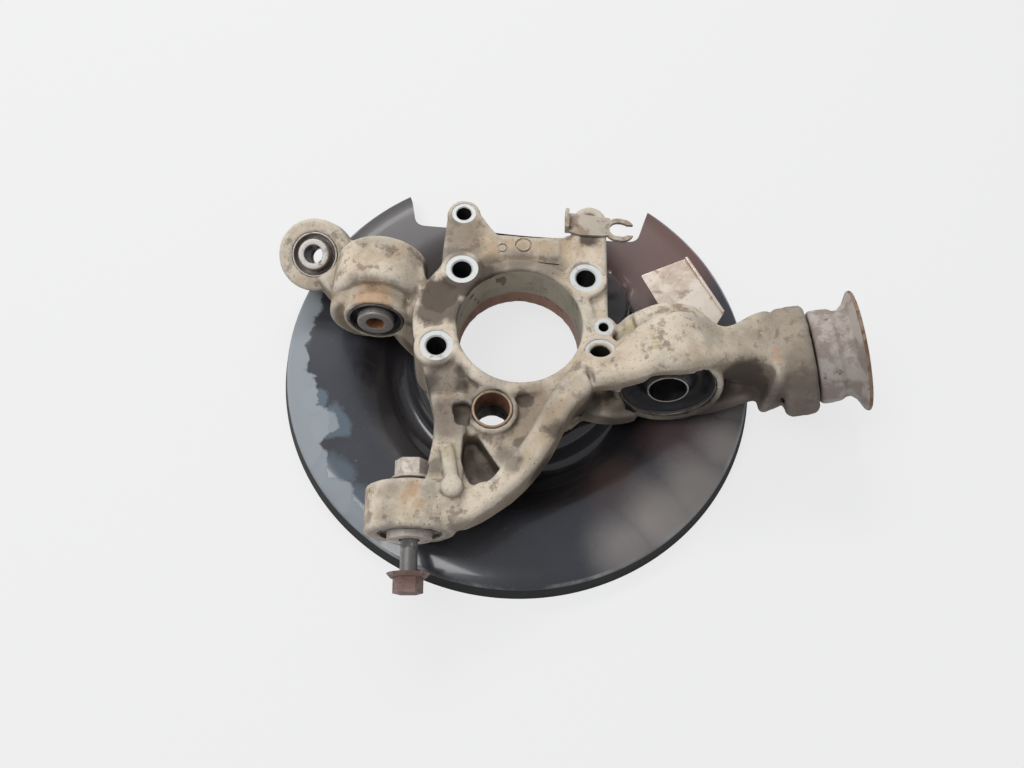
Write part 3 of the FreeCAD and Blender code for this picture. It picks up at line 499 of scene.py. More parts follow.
@dataclass(frozen=True)
class CastAlloy:
    """Sand-cast aluminium under dust, oil film and rust wash, with painted shade in its hollows and on faces
    that don't look up, and painted highlight on its ridges.
    """

    name: str = "sand_cast_alloy"
    dry: Colour = tint(212, 198, 178)
    warm: Colour = tint(180, 161, 137)
    cool: Colour = tint(150, 146, 132)
    bare_and_side_shade: Colour = tint(102, 86, 73)
    grime_and_shade: Colour = tint(66, 58, 50)
    speck: Colour = tint(92, 80, 68)
    rust: Colour = tint(62, 49, 42)
    orange: Colour = tint(176, 136, 98)
    moss: Colour = tint(160, 146, 92)
    pale: Colour = tint(204, 197, 184)
    mauve: Colour = tint(102, 92, 85)
    dim: Colour = tint(110, 98, 86)
    bare_and_side_shade_share: float = 0.62
    dusty_rough: float = 0.82
    oily_rough: float = 0.58
    metallic: float = 0.12
    grain_depth: float = 0.5
    grime_spots: tuple[Stain, ...] = spots(
        (-36.5, -45.3, 42.0, 6.0), (-36.0, -36.5, 43.0, 5.0),
        (5.5, -50.6, 38.0, 7.5, 1.0, 0.8), (4.0, -80.6, 38.0, 5.0, 1.2, 0.7),
        (-6.0, -90.6, 38.0, 6.0, 3.0, 0.5), (24.5, -78.4, 53.6, 6.5, 3.0, 0.9),
        (-1.5, -99.4, 49.9, 6.5, 3.0, 0.7), (16.7, -96.5, 30.0, 12.0, 5.0),
        (-30.0, -63.0, 36.0, 9.5, 2.0, 0.9), (-58.1, -45.3, 36.0, 9.0, 4.0),
        (-47.8, -103.0, 42.0, 8.0, 3.0, 0.8), (-113.2, 23.7, 54.2, 5.0, 3.0, 0.5),
        (-101.0, 22.6, 55.7, 6.5, 3.0, 0.45), (44.0, -47.0, 30.0, 16.0, 6.0),
        (145.8, -24.0, 40.0, 16.0, 4.0), (164.0, -24.0, 26.0, 16.0, 5.0),
        (-56.0, 4.0, 22.0, 14.0, 5.0), (-20.0, 50.0, 34.0, 8.0, 5.0, 0.5),
        (86.0, -4.0, 4.0, 40.0, 12.0, 0.9), (100.0, -62.0, 8.0, 42.0, 8.0, 0.85),
        (-76.0, -121.5, 52.0, 6.0, 5.0, 0.45), (-76.5, -137.0, 50.0, 7.0, 5.0, 0.45),
        (11.0, -78.0, 38.0, 4.0, 1.2, 0.6), (66.0, -40.0, 28.0, 12.0, 5.0, 0.8),
    )
    rust_spots: tuple[Stain, ...] = spots(
        (-54.0, 20.0, 43.0, 15.0, 2.5), (-36.0, 29.0, 45.0, 11.5, 2.5),
        (-26.0, 37.0, 45.0, 9.0, 3.0, 0.9), (-59.0, 7.0, 42.0, 11.0, 3.0, 0.9),
        (-61.0, 30.0, 38.0, 8.0, 3.0, 0.8), (-45.0, 8.0, 45.0, 9.0, 3.0, 0.9),
        (-62.0, 4.0, 20.0, 20.0, 5.0, 0.8), (-49.0, 52.0, 39.0, 12.0, 4.0, 0.45),
        (90.7, -36.1, 68.0, 2.2, 1.2, 0.9), (-65.0, -140.0, 34.0, 12.0, 4.0, 0.6),
        (46.8, 72.0, 38.0, 7.5, 2.5), (118.0, -34.0, 12.0, 26.0, 9.0, 0.7),
        (-17.4, -61.0, 41.0, 15.0, 3.0, 0.35),
    )
    orange_spots: tuple[Stain, ...] = spots(
        (-60.7, -120.3, 54.0, 5.0, 3.0, 0.7), (-65.0, -126.1, 54.0, 4.0, 3.0, 0.6),
        (-55.9, -129.0, 52.5, 4.0, 3.0, 0.5), (-98.9, 11.0, 50.2, 14.0, 5.0, 0.75),
        (167.6, -21.8, 55.6, 4.5, 3.0, 0.7), (172.6, -26.0, 55.0, 2.4, 1.6, 0.9),
        (-20.0, 62.0, 37.0, 6.0, 5.0, 0.35),
    )
    moss_spots: tuple[Stain, ...] = spots(
        (86.5, -23.2, 69.2, 2.6, 1.8, 0.8), (84.0, -18.0, 69.2, 2.2, 2.0, 0.6),
        (73.1, -2.1, 52.8, 6.0, 4.0, 0.5), (162.8, -19.6, 55.0, 2.0, 1.4, 0.6),
        (-40.2, -93.3, 50.0, 6.0, 3.0, 0.4),
    )
    mauve_spots: tuple[Stain, ...] = spots(
        (184.0, -44.0, 36.0, 26.0, 10.0, 0.8), (150.0, -30.0, 14.0, 26.0, 10.0, 0.8),
        (-48.0, -40.0, 43.0, 15.0, 5.0, 0.75), (-43.0, -68.0, 44.0, 15.0, 6.0, 0.75),
        (-30.0, -48.0, 40.0, 9.0, 4.0, 0.5), (183.6, -35.5, 50.0, 13.0, 8.0, 0.5),
    )
    dim_spots: tuple[Stain, ...] = spots(
        (-22.0, 43.0, 45.0, 13.0, 6.0, 0.8), (-2.0, 49.0, 45.0, 12.0, 6.0, 0.75),
        (18.0, 46.0, 45.0, 12.0, 6.0, 0.65), (-44.0, 76.0, 39.5, 15.0, 8.0, 0.7),
        (-42.0, 62.0, 39.5, 14.0, 6.0, 0.6), (-12.0, -38.0, 42.0, 12.0, 6.0, 0.4),
        (14.0, -60.0, 38.0, 20.0, 8.0, 0.55), (0.0, -84.0, 38.0, 14.0, 6.0, 0.5),
        (30.0, -42.0, 46.0, 14.0, 8.0, 0.35), (150.0, -14.0, 58.0, 14.0, 8.0, 0.4),
        (182.0, 2.0, 56.0, 26.0, 9.0, 0.6), (188.0, -24.0, 56.0, 22.0, 8.0, 0.7),
    )

    def dress(self, skin: Skin) -> None:
        """Writes the material's nodes.

        Args:
            skin: Writer of the material.
        """
        base = skin.mix(skin.patches(16.0, 0.42, 0.2), self.dry, self.warm)
        base = skin.over(base, skin.patches(24.0, 0.5, 0.16, (0.4, 0.1, 0.0)), self.cool, 0.6)
        base = skin.over(base, skin.patches(75.0, 0.52, 0.16, (0.0, 0.3, 0.2)), self.warm, 0.5)
        # Dust on faces that look up; the other faces darken towards a dark brown, bare of dust and painted
        # shade on the sides and undersides.
        settled = skin.use(skin.effects.dust, Amount=1.0, Scale=70.0).outputs[0]
        base = skin.mix(skin.ramp(settled, 0.0, 0.3), skin.mix(self.bare_and_side_shade_share, base, self.bare_and_side_shade), base)
        # Dust, wear and painted highlight: convex ridges are laid over pale.
        base = skin.over(base, skin.ramp(skin.attribute("ridge"), 0.05, 0.7), self.pale, 0.55)
        place = skin.ragged(0.014, 75.0)
        for colour, stains, share in ((self.dim, self.dim_spots, 1.0), (self.mauve, self.mauve_spots, 1.0),
                                      (self.rust, self.rust_spots, 0.9),
                                      (self.orange, self.orange_spots, 0.9),
                                      (self.moss, self.moss_spots, 0.8),
                                      (self.grime_and_shade, self.grime_spots, 0.85)):
            base = skin.over(base, skin.stains(place, stains), colour, share)
        # Painted shade with dirt: sheltered hollows darken towards the grime colour, broken up by a cloud.
        cloud = skin.ramp(skin.patches(50.0, 0.25, 0.4, (0.2, 0.0, 0.5)), 0.0, 1.0, 0.55, 1.0)
        shade = skin.math("MULTIPLY", skin.ramp(skin.attribute("hollow"), 0.30, 0.80), cloud)
        base = skin.over(base, shade, self.grime_and_shade, 0.9)
        grain = skin.use(skin.effects.grain, Scale=620.0)
        base = skin.over(base, skin.patches(520.0, 0.56, 0.1), self.speck, 0.4)
        base = skin.over(base, grain.outputs["Pits"], self.grime_and_shade, 0.8)
        skin.put(Base_Color=base, Roughness=skin.ramp(shade, 0.0, 1.0, self.dusty_rough, self.oily_rough),
                 Metallic=self.metallic)
        skin.bump(grain.outputs["Height"], self.grain_depth * MM, 0.8)


@dataclass(frozen=True)
class CutMetal:
    """Machined metal inside the casting: seats, drilled holes or the hub bore; the drilled holes are painted
    dark grey as shade.
    """

    name: str
    bright: Colour
    stained: Colour
    level: float
    metallic: float
    roughness: float

    def dress(self, skin: Skin) -> None:
        """Writes the material's nodes.

        Args:
            skin: Writer of the material.
        """
        marks = skin.patches(160.0, self.level, 0.2)
        base = skin.mix(marks, self.bright, self.stained)
        fine = skin.patches(900.0, 0.56, 0.14, (0.1, 0.2, 0.3))
        skin.put(Base_Color=skin.over(base, fine, self.stained, 0.35),
                 Metallic=skin.ramp(marks, 0.0, 1.0, self.metallic, 0.2),
                 Roughness=skin.ramp(marks, 0.0, 1.0, self.roughness, self.roughness + 0.2))
        skin.bump(fine, 0.05 * MM, 0.6)


@dataclass(frozen=True)
class BoreWall:
    """Wall of the hub bore: greenish grey above, lifted pale as painted light for the little light that
    reaches the wall; a darker brown band below, rust with painted shade under the bearing seat's step.
    """

    name: str = "hub_bore_wall"
    # Painted light: the upper colour is lifted pale for the little light that reaches the wall.
    upper: Colour = tint(184, 177, 160)
    lower: Colour = tint(166, 122, 102)
    speck: Colour = tint(76, 70, 60)
    band_top: float = 15.0
    band_soft: float = 1.0

    def dress(self, skin: Skin) -> None:
        """Writes the material's nodes.

        Args:
            skin: Writer of the material.
        """
        height = skin.add("ShaderNodeSeparateXYZ")
        skin.feed(height.inputs[0], skin.ragged(0.004, 90.0))
        low, high = (self.band_top - self.band_soft) * MM, (self.band_top + self.band_soft) * MM
        # Painted shade with rust: below band_top the wall turns to the darker brown.
        below = skin.ramp(height.outputs["Z"], low, high, 1.0, 0.0)
        marks = skin.patches(120.0, 0.6, 0.05)
        base = skin.over(skin.mix(below, self.upper, self.lower), marks, self.speck, 0.8)
        base = skin.over(base, skin.patches(40.0, 0.4, 0.3, (0.3, 0.3, 0.1)), self.speck, 0.4)
        skin.put(Base_Color=base, Roughness=skin.ramp(below, 0.0, 1.0, 0.6, 0.4), Metallic=0.25)
        skin.bump(marks, -0.1 * MM)


@dataclass(frozen=True)
class BlackPaint:
    """Glossy black paint under a thin film of dust outside the trough, left darkest inside it as painted
    shade, with pale patches along one side that are dried dust and painted reflection, a painted highlight
    line at the rim and a rim flange painted near black as shade.
    """

    name: str = "dusty_black_paint"
    paint: Colour = tint(38, 36, 39)
    film: Colour = tint(58, 61, 69)
    brown: Colour = tint(116, 88, 81)
    mauve: Colour = tint(74, 68, 66)
    pale: Colour = tint(146, 153, 158)
    reflected_blue: Colour = tint(104, 122, 136)
    earth_and_sheen: Colour = tint(156, 149, 144)
    # Near black of the rim flange, painted shade.
    rim: Colour = tint(13, 13, 14)
    # Colour of the painted highlight line at the rim.
    edge: Colour = tint(150, 152, 154)
    # Pale patches along the west side: dried dust and painted reflection of the light from that side.
    dried_and_reflection: tuple[Stain, ...] = spots(
        (-162.0, 38.0, -8.0, 18.0, 2.0), (-164.0, 18.0, -8.0, 18.0, 1.2),
        (-166.0, -8.0, -8.0, 16.0, 1.0), (-160.0, -34.0, -8.0, 20.0, 1.0),
        (-148.0, -58.0, -8.0, 20.0, 1.0), (-130.0, -54.0, -8.0, 8.0, 1.2, 0.8),
        (-150.0, -76.0, -8.0, 18.0, 1.0), (-143.0, -90.0, -8.0, 18.0, 1.0, 0.9),
        (-128.0, -110.0, -8.0, 19.0, 2.0, 0.85), (-112.0, -126.0, -8.0, 16.0, 3.0, 0.7),
        (-94.0, -140.0, -8.0, 12.0, 4.0, 0.5),
    )
    # Bluish patches among them: painted reflection of the sky.
    bluish_reflection: tuple[Stain, ...] = spots(
        (-128.0, -55.0, -8.0, 13.0, 2.0, 0.6), (-120.0, -93.0, -8.0, 13.0, 4.0, 0.45),
        (-142.0, -36.0, -8.0, 9.0, 2.0, 0.7), (-106.0, -112.0, -8.0, 12.0, 4.0, 0.4),
    )
    rusty: tuple[Stain, ...] = spots(
        (104.0, 92.0, -8.0, 44.0, 18.0, 0.9), (70.0, -90.0, -10.0, 20.0, 14.0, 0.3),
        (112.0, -52.0, -8.0, 24.0, 14.0, 0.35),
    )
    ear: tuple[Stain, ...] = spots((-86.0, 104.0, -8.0, 52.0, 16.0, 0.9))
    # Pale earth patches to the south-east: dried mud and painted sheen.
    muddy_and_sheen: tuple[Stain, ...] = spots(
        (128.0, -92.0, -8.0, 26.0, 16.0, 0.85), (104.0, -112.0, -8.0, 26.0, 16.0, 0.8),
        (78.0, -134.0, -8.0, 22.0, 16.0, 0.6), (146.0, -58.0, -8.0, 18.0, 14.0, 0.85),
        (151.0, -26.0, -8.0, 14.0, 12.0, 0.7),
    )
    # Painted shade of the trough fades out between these radii.
    trough_shade_from: float = 108.0
    trough_shade_to: float = 118.0
    rim_from: float = 164.6
    wet_rough: float = 0.24
    dry_rough: float = 0.62
    rim_rough: float = 0.75

    def dress(self, skin: Skin) -> None:
        """Writes the material's nodes.

        Args:
            skin: Writer of the material.
        """
        flat = skin.vector("MULTIPLY", skin.place(), (1.0, 1.0, 0.0)).outputs[0]
        radius = skin.vector("LENGTH", flat).outputs["Value"]
        # Painted shade: inside the trough the paint stays darkest; the lighter dust film comes in from the
        # shoulder outwards.
        film = skin.math("MULTIPLY", skin.ramp(radius, self.trough_shade_from * MM, self.trough_shade_to * MM),
                         skin.ramp(skin.patches(9.0, 0.3, 0.4), 0.0, 1.0, 0.45, 0.8))
        base = skin.mix(film, self.paint, self.film)
        soft, sharp = skin.ragged(0.02, 22.0), skin.ragged(0.024, 42.0)
        rusty, ear, muddy_and_sheen = (skin.stains(soft, stains) for stains in (self.rusty, self.ear, self.muddy_and_sheen))
        bluish_reflection, dried_and_reflection = (skin.stains(sharp, stains) for stains in (self.bluish_reflection, self.dried_and_reflection))
        for mask, colour in ((rusty, self.brown), (ear, self.mauve), (muddy_and_sheen, self.earth_and_sheen),
                             (bluish_reflection, self.reflected_blue), (dried_and_reflection, self.pale)):
            base = skin.over(base, mask, colour, 0.85)
        base = skin.over(base, skin.patches(420.0, 0.66, 0.05), self.pale, 0.3)
        lines = skin.use(skin.effects.scratches, Turn=0.8, Scale=9.0, Level=0.71).outputs[0]
        base = skin.over(base, lines, self.pale, 0.4)
        # Painted highlight: a pale line in patches just inside the rim's edge.
        highlight_from, highlight_to = self.rim_from - 2.0, self.rim_from - 1.0
        bright = skin.math("MULTIPLY", skin.ramp(radius, highlight_from * MM, highlight_to * MM),
                           skin.patches(14.0, 0.4, 0.25, (0.1, 0.7, 0.0)))
        base = skin.mix(bright, base, self.edge)
        # Painted shade: the outward, downward-facing flange beyond rim_from is painted near black.
        rim = skin.ramp(radius, self.rim_from * MM, (self.rim_from + 0.8) * MM)
        dry = dried_and_reflection
        for mask, share in ((muddy_and_sheen, 0.6), (ear, 0.5), (rusty, 0.4)):
            dry = skin.math("MAXIMUM", dry, skin.math("MULTIPLY", mask, share))
        rough = skin.ramp(dry, 0.0, 1.0, self.wet_rough, self.dry_rough)
        skin.put(Base_Color=skin.mix(rim, base, self.rim),
                 Roughness=skin.math("MAXIMUM", rough, skin.math("MULTIPLY", rim, self.rim_rough)),
                 Coat_Weight=skin.math("SUBTRACT", skin.ramp(dry, 0.0, 0.6, 0.9, 0.0), rim),
                 Coat_Roughness=0.09)
        skin.bump(skin.noise(skin.place(), 26.0, 2.0, 0.4).outputs["Fac"], 0.8 * MM, 0.15)


@dataclass(frozen=True)
class DullSteel:
    """Steel with dust, stains and rust."""

    name: str
    metal: Colour
    stain: Colour
    rust: Colour
    stain_level: float = 0.5
    rust_level: float = 0.56
    metallic: float = 0.7
    roughness: float = 0.45
    depth: float = 0.12
    scale: float = 90.0

    def dress(self, skin: Skin) -> None:
        """Writes the material's nodes.

        Args:
            skin: Writer of the material.
        """
        stain = skin.patches(self.scale, self.stain_level, 0.14)
        rust = skin.patches(self.scale * 1.8, self.rust_level, 0.1, (0.5, 0.2, 0.7))
        base = skin.over(skin.mix(stain, self.metal, self.stain), rust, self.rust, 0.85)
        grain = skin.use(skin.effects.grain, Scale=1400.0, Pit_Scale=500.0)
        dirt = skin.math("MAXIMUM", stain, rust)
        skin.put(Base_Color=skin.over(base, grain.outputs["Pits"], self.rust, 0.5),
                 Metallic=skin.ramp(dirt, 0.0, 1.0, self.metallic, 0.1),
                 Roughness=skin.ramp(dirt, 0.0, 1.0, self.roughness, 0.8))
        skin.bump(grain.outputs["Height"], self.depth * MM)


@dataclass(frozen=True)
class Rubber:
    """Black bonded rubber with a grey bloom of dust."""

    name: str = "bonded_rubber"
    black: Colour = tint(26, 26, 29)
    bloom: Colour = tint(74, 72, 74)
    amount: float = 0.5

    def dress(self, skin: Skin) -> None:
        """Writes the material's nodes.

        Args:
            skin: Writer of the material.
        """
        dust = skin.patches(85.0, 0.44, 0.25)
        grain = skin.use(skin.effects.grain, Scale=1600.0, Pit_Scale=700.0)
        skin.put(Base_Color=skin.over(self.black, dust, self.bloom, self.amount),
                 Roughness=skin.ramp(dust, 0.0, 1.0, 0.42, 0.75))
        skin.bump(grain.outputs["Height"], 0.08 * MM)


@dataclass(frozen=True)
class PlateMetal:
    """Bare stamped plate, brown film rubbed bright in a few places."""

    name: str = "stained_plate"
    metal: Colour = tint(214, 203, 190)
    film: Colour = tint(182, 164, 149)
    dark: Colour = tint(140, 117, 102)

    def dress(self, skin: Skin) -> None:
        """Writes the material's nodes.

        Args:
            skin: Writer of the material.
        """
        dark = skin.patches(90.0, 0.54, 0.12, (0.3, 0.1, 0.2))
        rubbed = skin.use(skin.effects.scratches, Turn=-0.98, Scale=16.0, Level=0.60).outputs[0]
        base = skin.mix(skin.patches(34.0, 0.36, 0.22), self.metal, self.film)
        base = skin.over(skin.over(base, dark, self.dark, 0.7), rubbed, self.metal, 0.45)
        skin.put(Base_Color=base, Metallic=skin.ramp(dark, 0.0, 1.0, 0.35, 0.15),
                 Roughness=skin.ramp(dark, 0.0, 1.0, 0.42, 0.6))
        skin.bump(skin.noise(skin.place(), 110.0, 3.0, 0.5).outputs["Fac"], 0.4 * MM, 0.6)


Finish = CastAlloy | CutMetal | BoreWall | BlackPaint | DullSteel | Rubber | PlateMetal


class Cut(int, Enum):
    """Order of the casting's materials on its mesh."""

    CAST = 0
    SEAT = 1
    HOLE = 2
    BORE = 3


class Finishes:
    """Every material of the part."""

    def __init__(self) -> None:
        """Builds the materials from the shared groups."""
        effects = Effects()

        def make(finish: Finish) -> Material:
            """Material that a finish writes."""
            skin = Skin(finish.name, effects)
            finish.dress(skin)
            return skin.material

        self.cast = make(CastAlloy())
        self.seat = make(CutMetal("machined_seat", tint(198, 199, 197), tint(150, 144, 134), 0.54, 0.2,
                                  0.5))
        # Painted shade: drilled hole walls get a dark grey in place of bright cut metal.
        self.hole = make(CutMetal("shaded_drilled_hole", tint(58, 56, 54), tint(34, 32, 31), 0.5, 0.5,
                                  0.5))
        self.bore = make(BoreWall())
        self.paint = make(BlackPaint())
        self.rubber = make(Rubber())
        self.rubber_dusty = make(Rubber("dusty_rubber", tint(104, 95, 89), tint(172, 160, 149), 0.9))
        # Black rubber of the lower ring, also painted on the lower inner sleeve's hole as shade.
        self.black_rubber_and_shade = make(Rubber("clean_rubber_and_shade", tint(18, 18, 21), tint(52, 52, 60), 0.4))
        self.plate = make(PlateMetal())
        self.sleeve = make(DullSteel("sleeve_steel", tint(176, 170, 164), tint(132, 122, 112),
                                     tint(104, 82, 68), 0.52, 0.60))
        self.dark_sleeve = make(DullSteel("dark_sleeve_steel", tint(122, 118, 114), tint(84, 77, 70),
                                          tint(72, 56, 48), 0.45, 0.56))
        self.orange_sleeve = make(DullSteel("rusty_sleeve_steel", tint(150, 112, 84), tint(120, 82, 56),
                                            tint(170, 104, 58), 0.42, 0.5, 0.3))
        self.liner = make(DullSteel("rusty_liner_steel", tint(128, 92, 70), tint(104, 72, 54),
                                    tint(140, 98, 70), 0.4, 0.5, 0.2, 0.6))
        self.liner_face = make(DullSteel("dusty_liner_edge", tint(170, 150, 128), tint(150, 128, 106),
                                         tint(122, 92, 72), 0.45, 0.6, 0.2, 0.7))
        self.bell = make(DullSteel("crusted_bell", tint(176, 166, 158), tint(146, 133, 125),
                                   tint(104, 84, 74), 0.45, 0.58, 0.05, 0.75, 0.4, 60.0))
        self.bell_rim = make(DullSteel("rusty_bell_rim", tint(140, 118, 100), tint(112, 84, 68),
                                       tint(92, 64, 50), 0.45, 0.52, 0.3, 0.6, 0.2))
        self.bolt = make(DullSteel("rusty_bolt_head", tint(142, 120, 112), tint(122, 98, 91),
                                   tint(108, 78, 66), 0.4, 0.52, 0.25, 0.6, 0.2))
        self.shank = make(DullSteel("worn_shank", tint(128, 127, 125), tint(94, 92, 89),
                                    tint(188, 184, 178), 0.5, 0.56, 0.5, 0.4, 0.2))
        self.nut = make(DullSteel("dusty_nut", tint(198, 189, 179), tint(172, 160, 147),
                                  tint(126, 108, 90), 0.45, 0.58, 0.2, 0.55))
        self.bracket = make(DullSteel("dusty_bracket", tint(176, 166, 152), tint(150, 134, 116),
                                      tint(116, 88, 70), 0.45, 0.58, 0.2, 0.6))




def mesh_object(name: str, mesh: Mesh) -> Object:
    """Object in the scene for a mesh.

    Args:
        name: Name of the piece.
        mesh: Its mesh, already in place.

    Returns:
        The object, at the origin.
    """
    made = bpy.data.objects.new(name, mesh)
    bpy.context.scene.collection.objects.link(made)
    return made


def apply_all(item: Object) -> None:
    """Turns the modifiers of an object into its plain mesh.

    Args:
        item: The object.
    """
    bpy.context.view_layer.update()
    graph = bpy.context.evaluated_depsgraph_get()
    done = bpy.data.meshes.new_from_object(item.evaluated_get(graph))
    item.modifiers.clear()
    item.data = done


def copy_of(node: str, name: str) -> Object:
    """Welded copy of a CAD node.

    Args:
        node: The CAD node.
        name: Name of the new piece.

    Returns:
        The copy, with no material.
    """
    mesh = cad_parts[node].data.copy()
    mesh.materials.clear()
    work = bmesh.new()
    work.from_mesh(mesh)
    bmesh.ops.remove_doubles(work, verts=work.verts, dist=1e-6)
    bmesh.ops.dissolve_degenerate(work, edges=work.edges, dist=1e-7)
    work.to_mesh(mesh)
    work.free()
    mesh.name = name
    return mesh_object(name, mesh)


def shade(item: Object, angle: float = 35.0) -> None:
    """Smooth shading that keeps edges sharper than an angle.

    Args:
        item: The object.
        angle: Smallest angle of a sharp edge, in degrees.
    """
    mesh = item.data
    mesh.polygons.foreach_set("use_smooth", [True] * len(mesh.polygons))
    work = bmesh.new()
    work.from_mesh(mesh)
    limit = math.radians(angle)
    for edge in work.edges:
        edge.smooth = len(edge.link_faces) == 2 and edge.calc_face_angle(0.0) < limit
    work.to_mesh(mesh)
    work.free()


def outward_mesh(work: bmesh.types.BMesh, name: str) -> Mesh:
    """Mesh of a finished shape, with its faces outwards.

    Args:
        work: The shape, which is freed.
        name: Name of the mesh.

    Returns:
        The mesh.
    """
    bmesh.ops.recalc_face_normals(work, faces=work.faces)
    mesh = bpy.data.meshes.new(name)
    work.to_mesh(mesh)
    work.free()
    return mesh


def read_points(mesh: Mesh) -> tuple[np.ndarray, np.ndarray]:
    """Places and normals of a mesh's points.

    Args:
        mesh: The mesh.

    Returns:
        Two arrays with one row for each point.
    """
    places = np.empty(len(mesh.vertices) * 3)
    normals = np.empty(len(mesh.vertices) * 3, dtype=np.float32)
    mesh.vertices.foreach_get("co", places)
    mesh.vertex_normals.foreach_get("vector", normals)
    return places.reshape(-1, 3), normals.reshape(-1, 3)


def ring_point(radius: float, degrees: float) -> Vector:
    """Point on a circle round the hub axis, in millimetres.

    Args:
        radius: Radius of the circle.
        degrees: Angle from +X.

    Returns:
        The point.
    """
    turn = math.radians(degrees)
    return Vector((math.cos(turn), math.sin(turn), 0.0)) * radius


def frame_at(point: Vector, axis: Vector) -> Matrix:
    """Frame whose Z runs along an axis and whose origin is a point."""
    return Matrix.Translation(point) @ axis.to_track_quat("Z", "Y").to_matrix().to_4x4()


Profile = Sequence[tuple[float, float, int]]


def lathe(profile: Profile, place: Matrix, segments: int = 96, closed: bool = False) -> Mesh:
    """Mesh turned from a profile.

    Args:
        profile: Radius, height in millimetres, and the material of the face that starts there.
        place: Frame whose Z is the axis.
        segments: Steps round the axis.
        closed: Joins the last point to the first, for a ring.

    Returns:
        The mesh, with its faces outwards.
    """
    work = bmesh.new()
    rings = []
    for radius, height, _ in profile:
        if radius < 1e-6:
            rings.append([work.verts.new(mm(0, 0, height))])
            continue
        ring = []
        for step in range(segments):
            angle = math.tau * step / segments
            ring.append(work.verts.new(mm(radius * math.cos(angle), radius * math.sin(angle), height)))
        rings.append(ring)
    count = len(profile)
    for index in range(count if closed else count - 1):
        low, high = rings[index], rings[(index + 1) % count]
        for step in range(segments):
            after = (step + 1) % segments
            corners = [low[step % len(low)], low[after % len(low)], high[after % len(high)],
                       high[step % len(high)]]
            corners = list(dict.fromkeys(corners))
            if len(corners) > 2:
                work.faces.new(corners).material_index = profile[index][2]
    mesh = outward_mesh(work, "turned")
    mesh.transform(place)
    return mesh


def plug(walls: Profile, place: Matrix, segments: int) -> Mesh:
    """Round body with flat ends over the profile of its walls.

    Args:
        walls: Radius, height in millimetres, and the material of the face that starts there.
        place: Frame whose Z is the axis.
        segments: Steps round the axis.

    Returns:
        The closed mesh.
    """
    first, last = walls[0], walls[-1]
    return lathe([(0.0, first[1], first[2]), *walls, (0.0, last[1], last[2])], place, segments)


def prism(outline: Sequence[tuple[float, float]], low: float, high: float, skin: int = 0) -> Mesh:
    """Upright closed mesh over an outline.

    Args:
        outline: Corners in millimetres.
        low: Height of its floor.
        high: Height of its top.
        skin: Its material number.

    Returns:
        The mesh.
    """
    work = bmesh.new()
    floor = [work.verts.new(mm(x, y, low)) for x, y in outline]
    roof = [work.verts.new(mm(x, y, high)) for x, y in outline]
    work.faces.new(floor)
    work.faces.new(roof)
    for index in range(len(outline)):
        after = (index + 1) % len(outline)
        work.faces.new((floor[index], floor[after], roof[after], roof[index]))
    for face in work.faces:
        face.material_index = skin
    return outward_mesh(work, "prism")


def rounded(points: Sequence[tuple[float, float]], radius: float | Sequence[float], steps: int = 5,
            closed: bool = False) -> list[tuple[float, float]]:
    """Corner-rounded copy of an outline.

    Args:
        points: Corners of the outline.
        radius: Rounding of all the corners or of each, cut down where a side is short.
        steps: Points on each rounded corner.
        closed: True for a loop.

    Returns:
        The points of the rounded outline.
    """
    out = []
    count = len(points)
    for index, corner in enumerate(points):
        if not closed and index in (0, count - 1):
            out.append(corner)
            continue
        here = Vector(corner)
        before = Vector(points[index - 1]) - here
        after = Vector(points[(index + 1) % count]) - here
        if before.angle(after) > math.radians(179.0):
            out.append(corner)
            continue
        size = radius if isinstance(radius, float) else radius[index]
        reach = min(size * math.tan((math.pi - before.angle(after)) / 2.0),
                    0.48 * before.length, 0.48 * after.length)
        start = here + before.normalized() * reach
        end = here + after.normalized() * reach
        for step in range(steps + 1):
            share = step / steps
            curve = start.lerp(here, share).lerp(here.lerp(end, share), share)
            out.append((curve.x, curve.y))
    return out


def combine(item: Object, others: Sequence[Mesh],
            skins: Sequence[Material], operation: str = "DIFFERENCE") -> None:
    """Cuts closed meshes out of an object, or joins them to it.

    Args:
        item: The object, which stays closed.
        others: The meshes, whose material numbers go to the new faces.
        skins: Materials of the object and of every other mesh, in the same order.
        operation: DIFFERENCE or UNION.
    """
    set_materials(item, *skins)
    helpers = []
    for number, mesh in enumerate(others):
        helper = mesh_object(f"helper_{number}", mesh)
        set_materials(helper, *skins)
        helpers.append(helper)
        change = item.modifiers.new(f"cut_{number}", "BOOLEAN")
        change.operation = operation
        change.solver = "MANIFOLD"
        change.object = helper
    apply_all(item)
    for helper in helpers:
        bpy.data.objects.remove(helper)


def finish_piece(item: Object, slot: Slot, node: str) -> None:
    """Rides a piece on the part, hides the CAD node that it replaces and logs its triangle count.

    Args:
        item: The piece.
        slot: Its material slot in the record; not used.
        node: The CAD node that it replaces.
    """
    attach(item, "root")
    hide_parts(node)
    item.data.calc_loop_triangles()
    LOG.info("%s: %d triangles", item.name, len(item.data.loop_triangles))


def set_materials(item: Object, *materials: Material) -> None:
    """Gives an object its materials, in order, and keeps the faces' numbers.

    Args:
        item: The object.
        materials: Its materials.
    """
    numbers = [polygon.material_index for polygon in item.data.polygons]
    item.data.materials.clear()
    for material in materials:
        item.data.materials.append(material)
    top = len(materials) - 1
    item.data.polygons.foreach_set("material_index", [min(number, top) for number in numbers])


@dataclass(frozen=True)
class Eye:
    """One bushed eye: face centre, axis out of the face, bore and depth in millimetres."""

    face: tuple[float, float, float]
    axis: tuple[float, float, float]
    bore: float
    depth: float
    front: float = 12.0
    back: float = 12.0

    def place(self) -> Matrix:
        """Frame at the face with Z out of it."""
        return frame_at(mm(*self.face), Vector(self.axis).normalized())


